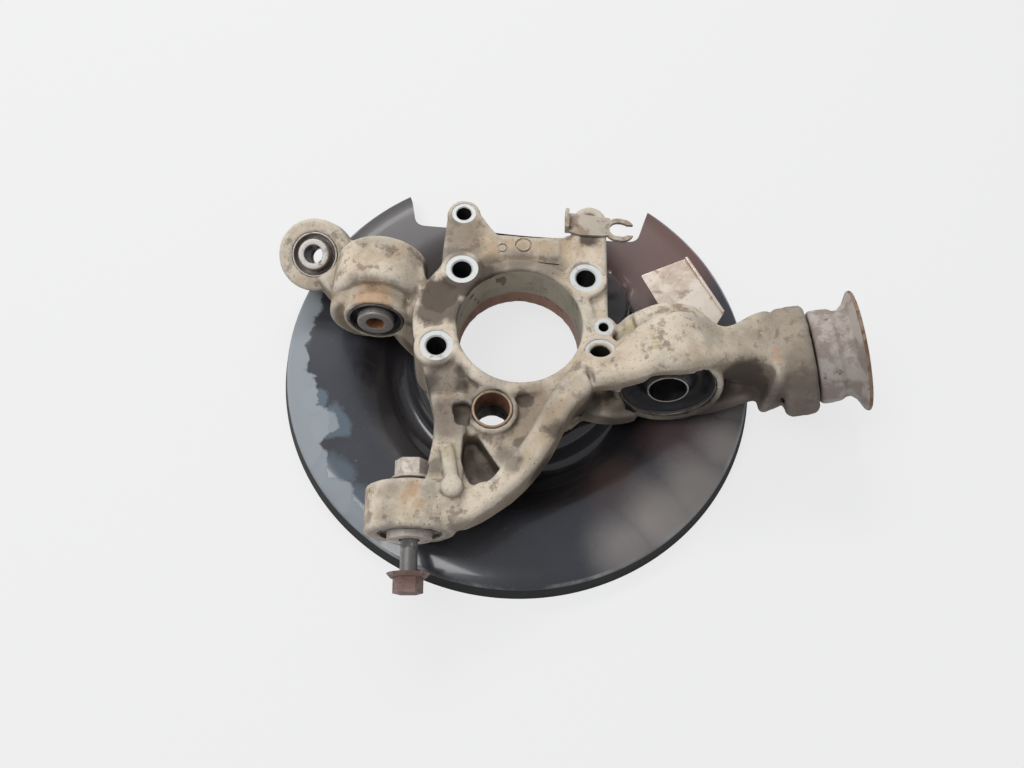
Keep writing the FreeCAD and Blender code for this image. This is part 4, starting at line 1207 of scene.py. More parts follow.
CAMBER_AXIS = Vector((0.0, -0.468, 0.884)).normalized()
CAMBER_FACE = Vector((-146.9, 63.2, 18.0)) + CAMBER_AXIS * 12.0
EYES = {
    "camber": Eye(tuple(CAMBER_FACE), tuple(CAMBER_AXIS), 15.95, 24.0),
    "upper": Eye((-98.5, 6.4, 29.0), (0.0, -0.9945, 0.1045), 18.85, 51.0),
    "toe": Eye((-63.5, -141.2, 24.0), (0.047, -0.9965, -0.07), 20.05, 30.0),
    "lower": Eye((99.4, -39.6, 34.6), (0.0, -0.978, 0.208), 32.05, 45.0, 3.0),
    "trailing": Eye((197.3, -9.4, 31.0), (0.955, 0.101, 0.279), 27.55, 22.0, 12.0, 0.3),
}


@dataclass
class Casting:
    """The knuckle casting with its blended skin, machined seats and holes."""

    finishes: Finishes
    voxel: float = 1.6
    smoothing: int = 3
    bore: float = 42.0
    ring_top: float = 45.5
    bolt_circle: float = 57.5
    bolt_hole: float = 6.75
    seat_z: float = 45.8
    seat_radius: float = 11.2
    bolt_angles: tuple[float, ...] = (135.5, 40.4, 199.0)
    east_bolt: float = 339.3
    lug: tuple[float, float] = (-42.8, 90.8)
    lug_hole: float = 5.3
    lug_seat: float = 8.6
    lug_seat_z: float = 38.5
    sensor: tuple[float, float] = (56.0, 0.5)
    sensor_hole: float = 3.3
    sensor_floor: float = 27.0
    sensor_top: float = 45.0
    sensor_seat: float = 6.6
    lower: tuple[float, float] = (-15.6, -61.1)
    liner: float = 13.25
    liner_floor: float = 21.5
    liner_way: float = 12.2
    liner_rim: float = 42.4
    bore_chamfer: float = 1.2
    below: float = -30.0
    above: float = 90.0
    far: float = 60.0
    boss_depth: float = 7.0
    swell: float = 0.22
    swell_size: float = 16.0
    crust: float = 0.5
    crust_size: float = 5.0
    crumb_size: float = 2.6
    crust_from_x: float = 150.0
    crust_from_y: float = -110.0
    rays: int = 14
    shelter_reach: float = 30.0

    def build(self) -> Object:
        """Makes the piece.

        Returns:
            The casting.
        """
        piece = copy_of("knuckle_casting", "casting")
        remesh = piece.modifiers.new("skin", "REMESH")
        remesh.mode = "VOXEL"
        remesh.voxel_size = self.voxel * MM
        soft = piece.modifiers.new("blend", "SMOOTH")
        soft.factor = 0.5
        soft.iterations = self.smoothing
        apply_all(piece)
        self._roughen(piece.data)
        skins = (self.finishes.cast, self.finishes.seat, self.finishes.hole, self.finishes.bore)
        combine(piece, self._bosses(), skins, "UNION")
        combine(piece, self._marks() + self._cutters(), skins)
        combine(piece, self._east_seat(), skins)
        shade(piece, 40.0)
        self._read_shape(piece.data)
        finish_piece(piece, Slot.CAST, "knuckle_casting")
        return piece

    def _roughen(self, mesh: Mesh) -> None:
        """Pushes the cast skin in and out, more on the crusted trailing and toe link eyes.

        Args:
            mesh: The blended skin.
        """
        places, normals = read_points(mesh)
        for index, point in enumerate(places):
            here = Vector(point) / MM
            broad = noise.noise(here / self.swell_size) * self.swell
            east = min(max((here.x - self.crust_from_x) / 20.0, 0.0), 1.0)
            south = min(max((self.crust_from_y - here.y) / 10.0, 0.0), 1.0) * 0.6
            bumps = noise.noise(here / self.crust_size) + 0.5 * noise.noise(here / self.crumb_size)
            crust = max(east, south) * self.crust * bumps
            places[index] += normals[index] * (broad + crust) * MM
        mesh.vertices.foreach_set("co", places.ravel())
        mesh.update()

    def _over_bolt(self, degrees: float) -> Matrix:
        """Frame of a hub bolt's hole."""
        return Matrix.Translation(ring_point(self.bolt_circle, degrees) * MM)

    def _cutters(self) -> list[Mesh]:
        """Meshes of every hole and seat but the east bolt's seat.

        Returns:
            Closed meshes, whose material numbers say how the cut face looks.
        """
        cast, seat, hole, bore = (int(cut) for cut in Cut)
        below, above, far = self.below, self.above, self.far
        way = self.bore + 0.05
        chamfered = way + self.bore_chamfer
        lug, sensor, lower = (Matrix.Translation(mm(*place, 0))
                              for place in (self.lug, self.sensor, self.lower))
        tapped = self.sensor_top - 0.1
        made = [plug([(chamfered, below, cast), (chamfered, 0, cast), (way, self.bore_chamfer, bore),
                      (way, self.ring_top - self.bore_chamfer, cast), (chamfered, self.ring_top, cast),
                      (chamfered, above, cast)], Matrix.Identity(4), 200)]
        entry = [(self.bolt_hole, below, hole), (self.bolt_hole, self.seat_z - 0.9, seat)]
        rim = self.bolt_hole + 1.0
        for angle in self.bolt_angles:
            made.append(plug(entry + [(rim, self.seat_z, seat), (self.seat_radius, self.seat_z, seat),
                                      (self.seat_radius + 0.5, above, seat)], self._over_bolt(angle), 72))
        made += [
            plug(entry + [(rim, self.seat_z, cast), (rim, above, hole)], self._over_bolt(self.east_bolt), 72),
            plug([(self.lug_hole, 0, hole), (self.lug_hole, self.lug_seat_z - 0.6, seat),
                  (self.lug_hole + 0.6, self.lug_seat_z, seat), (self.lug_seat, self.lug_seat_z, seat),
                  (self.lug_seat + 0.4, above, seat)], lug, 64),
            plug([(self.sensor_hole, self.sensor_floor, hole),
                  (self.sensor_hole, self.sensor_top - 0.6, seat),
                  (self.sensor_hole + 0.5, tapped, seat), (self.sensor_seat, tapped, seat),
                  (self.sensor_seat + 0.3, self.sensor_top + 9.0, seat)], sensor, 48),
            plug([(self.liner_way, below, hole), (self.liner_way, self.liner_floor, hole),
                  (self.liner, self.liner_floor, hole), (self.liner, self.liner_rim, cast),
                  (self.liner + 1.2, far, hole)], lower, 96)]
        for eye in EYES.values():
            made.append(plug([(eye.bore, -eye.depth - eye.back, hole), (eye.bore, eye.front, hole)],
                             eye.place(), 96))
        return made

    def _bosses(self) -> list[Mesh]:
        """Crisp discs under the machined seats.

        Returns:
            Closed meshes.
        """
        seat = int(Cut.SEAT)
        seats = [(self._over_bolt(angle), self.seat_radius, self.seat_z) for angle in self.bolt_angles]
        seats.append((Matrix.Translation(mm(*self.lug, 0)), self.lug_seat, self.lug_seat_z))
        seats.append((Matrix.Translation(mm(*self.sensor, 0)), self.sensor_seat, self.sensor_top - 0.1))
        return [plug([(radius, top - self.boss_depth, seat), (radius, top, seat)], place, 72)
                for place, radius, top in seats]

    def _marks(self) -> list[Mesh]:
        """Shallow rings and a slit of the bar, and the crack under the north-west boss.

        Returns:
            Closed meshes.
        """
        rings = [((0.5, 64.6), 4.6, 5.9, 40.3), ((-14.2, 61.6), 2.6, 3.5, 40.5),
                 ((17.6, 58.6), 0.0, 1.5, 40.2)]
        made = []
        for (x, y), inner, outer, floor in rings:
            outline = [(outer, floor), (outer, 50.0), (inner, 50.0), (inner, floor)]
            made.append(lathe([(r, z, 0) for r, z in outline], Matrix.Translation(mm(x, y, 0)), 40,
                              inner > 0))
        made.append(prism([(6.5, 51.9), (25.5, 50.6), (25.5, 51.5), (6.5, 52.7)], 37.4, 50.0))
        crack = [(-64.6, 26.2), (-58.3, 29.2), (-52.3, 31.0), (-46.0, 28.6), (-40.3, 26.2), (-36.3, 27.6)]
        back = [(x + 0.3, y + 1.1) for x, y in reversed(crack[1:-1])]
        made.append(prism(crack + back, 36.0, 43.0))
        return made

    def _east_seat(self) -> list[Mesh]:
        """Half-round seat of the east hub bolt, beside the arm's shoulder.

        Returns:
            One closed mesh.
        """
        middle = ring_point(self.bolt_circle, self.east_bolt)
        arc = [middle + ring_point(self.seat_radius, 5.0 * step) for step in range(37)]
        return [prism([(point.x, point.y) for point in arc], self.seat_z, self.seat_z + 6.0, int(Cut.SEAT))]

    def _read_shape(self, mesh: Mesh) -> None:
        """Writes how sheltered and how ridged each point is, for the dirt with painted shade in the hollows
        and the dust with painted highlight on the ridges.

        Args:
            mesh: The finished mesh.
        """
        count = len(mesh.vertices)
        places, normals = read_points(mesh)
        normals = normals.astype(float)
        ends = np.empty(len(mesh.edges) * 2, dtype=np.int32)
        mesh.edges.foreach_get("vertices", ends)
        ends = ends.reshape(-1, 2)
        tree = BVHTree.FromPolygons([tuple(point) for point in places],
                                    [tuple(polygon.vertices) for polygon in mesh.polygons])
        draw = np.random.default_rng(7)
        ways = draw.normal(size=(self.rays, 3))
        ways /= np.linalg.norm(ways, axis=1)[:, None]
        reach = self.shelter_reach * MM
        sheltered = np.zeros(count)
        for way in ways:
            side = np.where(normals @ way < 0, -1.0, 1.0)[:, None] * way
            aim = side + 0.6 * normals
            aim /= np.linalg.norm(aim, axis=1)[:, None]
            start = places + normals * 0.3 * MM
            for index in range(count):
                if tree.ray_cast(start[index], aim[index], reach)[0] is not None:
                    sheltered[index] += 1.0
        sheltered /= self.rays
        degree = np.bincount(ends.ravel(), minlength=count).clip(1)

        def average(values: np.ndarray) -> np.ndarray:
            """Mean over each point's neighbours."""
            total = np.zeros_like(values)
            np.add.at(total, ends[:, 0], values[ends[:, 1]])
            np.add.at(total, ends[:, 1], values[ends[:, 0]])
            return total / (degree[:, None] if values.ndim > 1 else degree)

        middle = average(places)
        ridge = np.einsum("ij,ij->i", places - middle, normals) / (0.12 * self.voxel * MM)
        for _ in range(3):
            sheltered = 0.5 * sheltered + 0.5 * average(sheltered)
            ridge = 0.5 * ridge + 0.5 * average(ridge)
        for name, values in (("hollow", sheltered), ("ridge", ridge.clip(0.0, 1.0))):
            layer = mesh.attributes.new(name, "FLOAT", "POINT")
            layer.data.foreach_set("value", values.astype(np.float32))


@dataclass
class Shield:
    """Pressed sheet dust shield with soft bends."""

    finishes: Finishes
    sheet: float = 1.2
    seat: float = 74.0
    trough_inner: float = 80.0
    trough_outer: float = 89.0
    trough_z: float = -18.0
    step: float = 96.5
    step_z: float = -14.0
    bend: float = 114.0
    field_z: float = -8.0
    shoulder: float = 154.0
    edge: float = 165.0
    edge_z: float = -11.0
    drop: float = 12.5
    flare: float = 3.2
    rounding: tuple[float, ...] = (0.0, 9.0, 9.0, 24.0, 20.0, 60.0, 40.0, 4.0, 0.0)
    opening: float = 45.0
    lobe: tuple[float, float] = (47.0, 45.0)
    lobe_radius: float = 31.0
    lobe_slope: float = 5.0
    bolt_way: float = 7.35
    screw_way: float = 2.55
    drain: float = 15.5
    notch: tuple[tuple[float, float], ...] = (
        (-100.0, 170.0), (-86.5, 132.0), (-82.0, 110.5), (66.0, 103.4), (87.0, 103.4),
        (96.0, 132.0), (108.0, 170.0))
    notch_rounding: float = 9.0
    drain_side: float = 0.7
    drain_reach: float = 40.0
    below: float = -60.0
    above: float = 40.0
    grid: float = 5.0
    segments: int = 360

    def build(self) -> Object:
        """Makes the piece.

        Returns:
            The shield.
        """
        piece = mesh_object("shield", self._sheet_mesh())
        combine(piece, self._cutters(), (self.finishes.paint,))
        shade(piece, 50.0)
        finish_piece(piece, Slot.PAINT, "dust_shield")
        return piece

    def _profile(self) -> list[tuple[float, float]]:
        """Upper side of the sheet from the seat to the rim, with rounded bends.

        Returns:
            Radius and height of each point, in millimetres.
        """
        line = [(30.0, 0.0), (self.seat, 0.0), (self.trough_inner, self.trough_z),
                (self.trough_outer, self.trough_z), (self.step, self.step_z), (self.bend, self.field_z),
                (self.shoulder, self.field_z), (self.edge, self.edge_z),
                (self.edge + self.flare, self.edge_z - self.drop)]
        return rounded(line, self.rounding, 8)

    def _sheet_mesh(self) -> Mesh:
        """Closed shell turned from the profile, raised where the seat's lobe stands.

        Returns:
            The mesh.
        """
        fine = []
        line = self._profile()
        for (r0, z0), (r1, z1) in zip(line, line[1:]):
            parts = max(1, round(math.hypot(r1 - r0, z1 - z0) / self.grid))
            fine += [(r0 + (r1 - r0) * k / parts, z0 + (z1 - z0) * k / parts) for k in range(parts)]
        fine.append(line[-1])
        slopes = []
        for index in range(len(fine)):
            r0, z0 = fine[max(index - 1, 0)]
            r1, z1 = fine[min(index + 1, len(fine) - 1)]
            length = math.hypot(r1 - r0, z1 - z0)
            slopes.append((-(z1 - z0) / length, (r1 - r0) / length))
        work = bmesh.new()
        upper, lower = [], []
        for (radius, z), (out, up) in zip(fine, slopes):
            top_ring, low_ring = [], []
            for step in range(self.segments):
                turn = math.tau * step / self.segments
                x, y = math.cos(turn), math.sin(turn)
                lift = self._lobe_height(radius * x, radius * y)
                top = max(z, lift) if radius < self.bend else z
                top_ring.append(work.verts.new(mm(radius * x, radius * y, top)))
                inner = radius - out * self.sheet
                low_ring.append(work.verts.new(mm(inner * x, inner * y, top - up * self.sheet)))
            upper.append(top_ring)
            lower.append(low_ring)
        loops = upper + lower[::-1]
        for index in range(len(loops)):
            here, there = loops[index], loops[(index + 1) % len(loops)]
            for step in range(self.segments):
                after = (step + 1) % self.segments
                work.faces.new((here[step], there[step], there[after], here[after]))
        return outward_mesh(work, "shield")

    def _lobe_height(self, x: float, y: float) -> float:
        """Height of the seat's lobe over a point, in millimetres.

        Args:
            x: Its place along X.
            y: Its place along Y.

        Returns:
            The height, endlessly low where there is no lobe.
        """
        away = math.hypot(x - self.lobe[0], y - self.lobe[1])
        share = (away - self.lobe_radius) / self.lobe_slope
        if share > 1.0:
            return -math.inf
        share = max(share, 0.0)
        return self.trough_z * share * share * (3.0 - 2.0 * share)

    def _cutters(self) -> list[Mesh]:
        """Meshes of the openings.

        Returns:
            Closed meshes.
        """
        low, high = self.below, self.above

        def drill(place: Vector, radius: float, segments: int = 64) -> Mesh:
            """Round cutter through the sheet."""
            return plug([(radius, low, 0), (radius, high, 0)], Matrix.Translation(place * MM), segments)

        made = [drill(Vector((0.0, 0.0, 0.0)), self.opening, 180)]
        for degrees in (*Casting.bolt_angles, Casting.east_bolt):
            made.append(drill(ring_point(Casting.bolt_circle, degrees), self.bolt_way))
        for degrees in ShieldScrews.angles:
            made.append(drill(ring_point(ShieldScrews.circle, degrees), self.screw_way, 32))
        x, y = Casting.lower
        side, end = self.drain_side * self.drain, y + self.drain_reach
        made.append(drill(Vector((x, y, 0.0)), self.drain))
        made.append(prism([(x - side, y), (x + side, y), (x + side, end), (x - side, end)], low, high))
        made.append(prism(rounded(self.notch, self.notch_rounding, 8, True), low, high))
        return made


@dataclass
class ShieldScrews:
    """The three screws that hold the shield from below, placed by Geometry Nodes."""

    finishes: Finishes
    circle: float = 59.0
    angles: tuple[float, ...] = (90.0, 175.0, 300.0)
    shank: float = 2.5
    head: float = 4.6
    head_height: float = 2.6
    depth: float = 7.0
    sheet: float = 1.2

    def build(self) -> Object:
        """Makes the piece.

        Returns:
            The screws as one mesh.
        """
        pattern = mesh_object("screw_pattern", self._one_screw())
        points = bpy.data.meshes.new("screw_places")
        under = Vector((0.0, 0.0, -self.sheet))
        points.from_pydata([(ring_point(self.circle, angle) + under) * MM for angle in self.angles], [], [])
        piece = mesh_object("shield_screw_set", points)
        tree = self._tree()
        change = piece.modifiers.new("screws", "NODES")
        change.node_group = tree
        names = {item.name: item.identifier for item in tree.interface.items_tree}
        change[names["Screw"]] = pattern
        change[names["Seed"]] = 3
        change[names["Finish"]] = self.finishes.bolt
        apply_all(piece)
        bpy.data.objects.remove(pattern)
        shade(piece)
        set_materials(piece, self.finishes.bolt)
        finish_piece(piece, Slot.DULL, "shield_screws")
        return piece

    def _one_screw(self) -> Mesh:
        """Domed screw with a round recess, its seat at the origin.

        Returns:
            The mesh.
        """
        dome = [(self.head, 0.0), (self.head, -0.9), (0.7 * self.head, -self.head_height),
                (1.9, -self.head_height), (1.7, -1.2), (0.0, -1.2)]
        stem = [(0.0, self.depth + self.sheet), (self.shank - 0.4, self.depth + self.sheet),
                (self.shank, self.depth + self.sheet - 0.5), (self.shank, 0.0)]
        return lathe([(r, z, 0) for r, z in stem + dome], Matrix.Identity(4), 36)

    @staticmethod
    def _tree() -> Tree:
        """Geometry Nodes that set one turned screw on each point.

        Returns:
            The node tree.
        """
        tree = bpy.data.node_groups.new("screws_on_seats", "GeometryNodeTree")
        face = tree.interface
        face.new_socket(name="Places", in_out="INPUT", socket_type="NodeSocketGeometry")
        face.new_socket(name="Screw", in_out="INPUT", socket_type="NodeSocketObject")
        face.new_socket(name="Seed", in_out="INPUT", socket_type="NodeSocketInt")
        face.new_socket(name="Finish", in_out="INPUT", socket_type="NodeSocketMaterial")
        face.new_socket(name="Screws", in_out="OUTPUT", socket_type="NodeSocketGeometry")
        make, link = tree.nodes.new, tree.links.new
        entry, leave = make("NodeGroupInput"), make("NodeGroupOutput")
        info, copy = make("GeometryNodeObjectInfo"), make("GeometryNodeInstanceOnPoints")
        chance, spin = make("FunctionNodeRandomValue"), make("ShaderNodeCombineXYZ")
        real, dress = make("GeometryNodeRealizeInstances"), make("GeometryNodeSetMaterial")
        chance.data_type = "FLOAT"
        chance.inputs[3].default_value = math.tau
        link(entry.outputs["Screw"], info.inputs["Object"])
        link(entry.outputs["Seed"], chance.inputs["Seed"])
        link(chance.outputs[1], spin.inputs["Z"])
        link(entry.outputs["Places"], copy.inputs["Points"])
        link(info.outputs["Geometry"], copy.inputs["Instance"])
        link(spin.outputs[0], copy.inputs["Rotation"])
        link(copy.outputs[0], real.inputs[0])
        link(real.outputs[0], dress.inputs["Geometry"])
        link(entry.outputs["Finish"], dress.inputs["Material"])
        link(dress.outputs[0], leave.inputs[0])
        return tree


@dataclass(frozen=True)
class BushSizes:
    """Sizes of one bonded bush in millimetres."""

    sleeve: float
    inner: float
    hole: float
    proud: float
    recess: float = 0.0
    groove: float = 2.0
    back_proud: float | None = None


@dataclass
class Bushes:
    """The five bonded bushes: outer sleeve, dished rubber and inner sleeve each."""

    finishes: Finishes
    wall: float = 1.3
    inset: float = 2.5
    sizes: dict[str, BushSizes] = field(default_factory=lambda: {
        "camber": BushSizes(15.9, 10.8, 6.4, 4.0),
        "upper": BushSizes(18.8, 12.4, 6.1, 2.4),
        "toe": BushSizes(20.0, 14.2, 6.3, 3.4),
        "lower": BushSizes(32.0, 13.6, 12.4, 2.0, 2.5, 6.0),
        "trailing": BushSizes(27.5, 12.0, 7.1, 27.0, 0.0, 2.0, 0.0),
    })

    def build(self) -> None:
        """Makes every bush."""
        for name, sizes in self.sizes.items():
            eye = EYES[name]
            self._rubber(name, eye, sizes)
            self._inner(name, eye, sizes)
            self._outer(name, eye, sizes)

    def _rubber(self, name: str, eye: Eye, sizes: BushSizes) -> None:
        """Rubber ring, dished between its two sleeves at both ends.

        Args:
            name: Name of the bush.
            eye: Its eye.
            sizes: Its sizes.
        """
        outer, inner = sizes.sleeve - self.wall, sizes.inner
        low = -eye.depth + sizes.recess + self.inset
        high = -sizes.recess - self.inset
        width = outer - inner
        front, back = [], []
        steps = 14
        for step in range(steps + 1):
            share = step / steps
            dish = sizes.groove * math.sin(math.pi * share) ** 1.4
            lip = 0.5 * sum(math.exp(-((share - middle) / 0.07) ** 2) for middle in (0.1, 0.9))
            radius = outer - width * share
            front.append((radius, high - dish + lip, 0))
            back.append((radius, low + dish - lip, 0))
        piece = mesh_object(f"{name}_rubber_ring", lathe(front + back[::-1], eye.place(), 128, True))
        shade(piece, 60.0)
        skins = {"lower": self.finishes.black_rubber_and_shade, "camber": self.finishes.rubber_dusty,
                 "toe": self.finishes.rubber_dusty}
        set_materials(piece, skins.get(name, self.finishes.rubber))
        finish_piece(piece, Slot.RUBBER, f"{name}_rubber")

    def _inner(self, name: str, eye: Eye, sizes: BushSizes) -> None:
        """Inner sleeve with rounded ends and a hole whose wall is painted dark as shade, rusty on the upper
        bush.

        Args:
            name: Name of the bush.
            eye: Its eye.
            sizes: Its sizes.
        """
        high = sizes.proud - sizes.recess
        back = sizes.proud if sizes.back_proud is None else sizes.back_proud
        low = -eye.depth + sizes.recess - back
        outline = [(sizes.inner, low), (sizes.inner, high), (sizes.hole, high), (sizes.hole, low)]
        turn = rounded(outline, 0.8, 4, True)
        profile = []
        for radius, z in turn:
            inside = radius < sizes.hole + 0.3 and low + 0.5 < z < high + 0.5
            profile.append((radius, z, 1 if inside else 0))
        piece = mesh_object(f"{name}_inner_tube", lathe(profile, eye.place(), 96, True))
        shade(piece, 50.0)
        # Second material of each: the hole's wall, painted shade (black rubber on the lower bush), rust on
        # the upper bush.
        skins = {"upper": (self.finishes.sleeve, self.finishes.orange_sleeve),
                 "lower": (self.finishes.sleeve, self.finishes.black_rubber_and_shade),
                 "toe": (self.finishes.nut, self.finishes.hole),
                 "trailing": (self.finishes.dark_sleeve, self.finishes.hole),
                 "camber": (self.finishes.sleeve, self.finishes.dark_sleeve)}
        set_materials(piece, *skins[name])
        finish_piece(piece, Slot.BUSH, f"{name}_inner_sleeve")

    def _outer(self, name: str, eye: Eye, sizes: BushSizes) -> None:
        """Thin outer sleeve with rounded ends.

        Args:
            name: Name of the bush.
            eye: Its eye.
            sizes: Its sizes.
        """
        low, high = -eye.depth + sizes.recess, -sizes.recess
        outline = [(sizes.sleeve, low), (sizes.sleeve, high), (sizes.sleeve - self.wall, high),
                   (sizes.sleeve - self.wall, low)]
        profile = [(radius, z, 0) for radius, z in rounded(outline, 0.5, 3, True)]
        piece = mesh_object(f"{name}_outer_tube", lathe(profile, eye.place(), 128, True))
        shade(piece, 50.0)
        set_materials(piece, self.finishes.sleeve if name == "camber" else self.finishes.dark_sleeve)
        finish_piece(piece, Slot.BUSH, f"{name}_outer_sleeve")


@dataclass
class BellMouth:
    """Crusted collar, waist and flared mouth outside the trailing arm eye."""

    finishes: Finishes
    gap: float = 1.2
    collar: float = 31.5
    waist: float = 28.8
    rim: float = 40.5
    lip: float = 2.2
    end: float = 32.0
    root: float = 12.0
    mouth: float = 22.0
    throat: float = 21.0
    crust: float = 0.35
    crust_size: float = 7.0
    crumb_size: float = 2.8
    dent_depth: float = 0.78
    dent_at: float = 9.0
    dent_reach: float = 5.0
    dent_turn: float = 0.30
    dent_from_radius: float = 25.0
    grid: float = 1.6

    def build(self) -> Object:
        """Makes the piece.

        Returns:
            The bell mouth.
        """
        line = [(self.root, self.gap), (self.collar, self.gap), (self.collar + 0.2, 9.0),
                (self.collar - 0.4, 15.0), (self.waist + 0.4, 18.2), (self.waist + 0.3, 21.6),
                (self.collar + 1.0, self.end - 6.5), (self.rim, self.end - self.lip), (self.rim, self.end),
                (self.mouth + 10.0, self.end - 2.0), (self.mouth, self.throat), (self.root, self.throat)]
        smooth = rounded(line, 3.6, 6, True)
        fine = []
        for index, (r0, z0) in enumerate(smooth):
            r1, z1 = smooth[(index + 1) % len(smooth)]
            parts = max(1, round(math.hypot(r1 - r0, z1 - z0) / self.grid))
            edge = int(min(r0, r1) > self.rim - self.grid and max(z0, z1) > self.end - self.lip - 0.2)
            fine += [(r0 + (r1 - r0) * k / parts, z0 + (z1 - z0) * k / parts, edge) for k in range(parts)]
        place = EYES["trailing"].place()
        mesh = lathe(fine, place, 180, True)
        self._crust(mesh, place)
        piece = mesh_object("bell_mouth", mesh)
        shade(piece, 60.0)
        set_materials(piece, self.finishes.bell, self.finishes.bell_rim)
        finish_piece(piece, Slot.DULL, "trailing_bell_mouth")
        return piece

    def _crust(self, mesh: Mesh, place: Matrix) -> None:
        """Uneven skin and the small dent on top of the collar.

        Args:
            mesh: The turned mesh.
            place: Frame of the eye.
        """
        home = place.inverted()
        up = home.to_3x3() @ Vector((0, 0, 1))
        for vertex in mesh.vertices:
            here = home @ vertex.co / MM
            bumps = noise.noise(here / self.crust_size) * 0.7 + noise.noise(here / self.crumb_size) * 0.3
            out = Vector((here.x, here.y, 0.0))
            facing = out.normalized().dot(up) if out.length > 1.0 else 0.0
            turned = math.acos(max(-1.0, min(1.0, facing)))
            away = math.hypot((here.z - self.dent_at) / self.dent_reach, turned / self.dent_turn)
            dent = self.dent_depth * math.exp(-away * away) if out.length > self.dent_from_radius else 0.0
            vertex.co = place @ ((here + out.normalized() * (self.crust * bumps - dent)) * MM)


@dataclass
class Hardware:
    """Bolt, nut, liner, bracket, plate and bracket screw."""

    finishes: Finishes

    def build(self) -> None:
        """Makes every piece."""
        skins = self.finishes
        self._eased("toe_link_bolt", "link_bolt", Slot.RUSTY, 0.6, skins.bolt, skins.shank)
        self._eased("toe_link_nut", "link_nut", Slot.DULL, 0.9, skins.nut)
        self._eased("lower_bore_liner", "bore_liner", Slot.RUSTY, 0.4, skins.liner, skins.liner_face)
        self._eased("hose_bracket", "hose_fork_bracket", Slot.DULL, 0.7, skins.bracket)
        self._eased("bracket_screw", "bracket_bolt", Slot.DULL, 0.6, skins.bolt)
        self._eased("label_plate", "bare_plate", Slot.PLATE, 0.4, skins.plate)

    def _eased(self, node: str, name: str, slot: Slot, width: float, *skins: Material) -> None:
        """Copy of a CAD node with eased edges.

        Args:
            node: The CAD node.
            name: Name of the piece.
            slot: Its slot in the record.
            width: Width of the easing in millimetres.
            skins: Its materials.
        """
        piece = copy_of(node, name)
        ease = piece.modifiers.new("ease", "BEVEL")
        ease.width = width * MM
        ease.segments = 3
        ease.limit_method = "ANGLE"
        ease.angle_limit = math.radians(32.0)
        apply_all(piece)
        shade(piece, 42.0)
        sorts = {"toe_link_bolt": self._bolt_faces, "lower_bore_liner": self._liner_faces}
        if node in sorts:
            sorts[node](piece.data)
        set_materials(piece, *skins)
        finish_piece(piece, slot, node)

    @staticmethod
    def _liner_faces(mesh: Mesh) -> None:
        """Numbers the faces that look up 1 and the walls 0."""
        for polygon in mesh.polygons:
            polygon.material_index = int(polygon.normal.z > 0.3)

    @staticmethod
    def _bolt_faces(mesh: Mesh) -> None:
        """Numbers the shank's faces 1 and the head's 0.

        Args:
            mesh: The bolt's mesh.
        """
        home = EYES["toe"].place().inverted()
        for polygon in mesh.polygons:
            here = home @ polygon.center / MM
            polygon.material_index = 1 if math.hypot(here.x, here.y) < 6.2 and here.z < 24.2 else 0


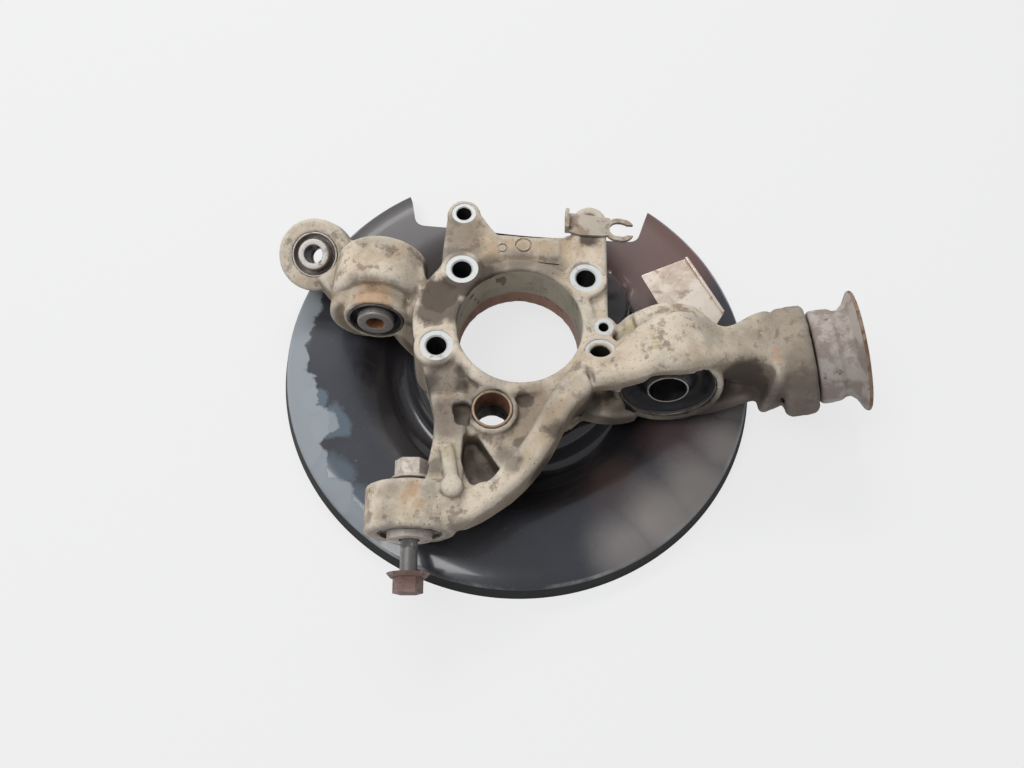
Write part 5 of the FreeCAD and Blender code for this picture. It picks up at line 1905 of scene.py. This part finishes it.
@dataclass
class Studio:
    """Floor, soft lights and the camera of the photograph."""

    floor_z: float = -23.5
    floor_half: float = 6.0
    camera_mm: tuple[float, float, float] = (-3.49, -300.35, 603.78)
    lean: float = 24.6316
    roll: float = 2.42336
    lens: float = 33.398
    sensor: float = 36.0
    sky: Colour = (0.82, 0.84, 0.88, 1.0)
    sky_strength: float = 0.42
    paper: Colour = tint(238, 238, 238)
    plain_share: float = 0.86
    lamps: tuple[tuple[str, tuple[float, float, float], float, float, float], ...] = (
        ("window", (-0.4, 1.33, 1.38), 1.3, 0.4, 20.0), ("ceiling", (-0.9, -0.3, 1.9), 1.2, 1.2, 21.0))

    def build(self) -> None:
        """Makes the floor, the world, the lights and the camera."""
        self._floor()
        self._world()
        for lamp in self.lamps:
            self._lamp(*lamp)
        self._camera()
        bpy.context.scene.view_settings.view_transform = "Standard"

    def _floor(self) -> None:
        """Pale paper floor whose shadow is faint for the camera, as on the cut-out photograph."""
        skin = Skin("pale_paper")
        skin.put(Base_Color=self.paper, Roughness=0.95, Specular_IOR_Level=0.1)
        plain = skin.add("ShaderNodeEmission")
        skin.feed(plain.inputs["Color"], self.paper)
        seen = skin.add("ShaderNodeLightPath").outputs["Is Camera Ray"]
        blend = skin.add("ShaderNodeMixShader")
        skin.feed(blend.inputs[0], skin.math("MULTIPLY", seen, self.plain_share))
        skin.feed(blend.inputs[1], skin.surface.outputs[0])
        skin.feed(blend.inputs[2], plain.outputs[0])
        skin.feed(skin.output.inputs["Surface"], blend.outputs[0])
        half, z = self.floor_half, self.floor_z * MM
        mesh = bpy.data.meshes.new("floor")
        mesh.from_pydata([(-half, -half, z), (half, -half, z), (half, half, z), (-half, half, z)], [],
                         [(0, 1, 2, 3)])
        mesh.materials.append(skin.material)
        mesh_object("floor", mesh)

    def _world(self) -> None:
        """Even pale light from all round."""
        world = bpy.data.worlds.new("studio")
        bpy.context.scene.world = world
        world.use_nodes = True
        back = world.node_tree.nodes["Background"]
        back.inputs["Color"].default_value = self.sky
        back.inputs["Strength"].default_value = self.sky_strength

    @staticmethod
    def _lamp(name: str, place: tuple[float, float, float], wide: float, deep: float, watts: float) -> None:
        """Soft rectangular lamp that looks at the part.

        Args:
            name: Name of the lamp.
            place: Its place in metres.
            wide: Its width in metres.
            deep: Its depth in metres.
            watts: Its power.
        """
        light = bpy.data.lights.new(name, "AREA")
        light.shape = "RECTANGLE"
        light.size, light.size_y = wide, deep
        light.energy = watts
        lamp = bpy.data.objects.new(name, light)
        bpy.context.scene.collection.objects.link(lamp)
        lamp.location = place
        lamp.rotation_euler = (-Vector(place)).to_track_quat("-Z", "Y").to_euler()

    def _camera(self) -> None:
        """Camera at the photograph's place, leaning from straight down and rolled a little."""
        data = bpy.data.cameras.new("photo_camera")
        data.lens, data.sensor_width = self.lens, self.sensor
        data.clip_start, data.clip_end = 0.01, 50.0
        camera = bpy.data.objects.new("photo_camera", data)
        bpy.context.scene.collection.objects.link(camera)
        turned = (Matrix.Rotation(math.radians(self.lean), 4, "X")
                  @ Matrix.Rotation(math.radians(self.roll), 4, "Z"))
        camera.matrix_world = Matrix.Translation(mm(*self.camera_mm)) @ turned
        bpy.context.scene.camera = camera


def main() -> None:
    logging.basicConfig(level=logging.INFO, format="%(message)s")
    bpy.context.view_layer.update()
    finishes = Finishes()
    Casting(finishes).build()
    Shield(finishes).build()
    ShieldScrews(finishes).build()
    Bushes(finishes).build()
    BellMouth(finishes).build()
    Hardware(finishes).build()
    Studio().build()


if __name__ == "__main__":
    main()
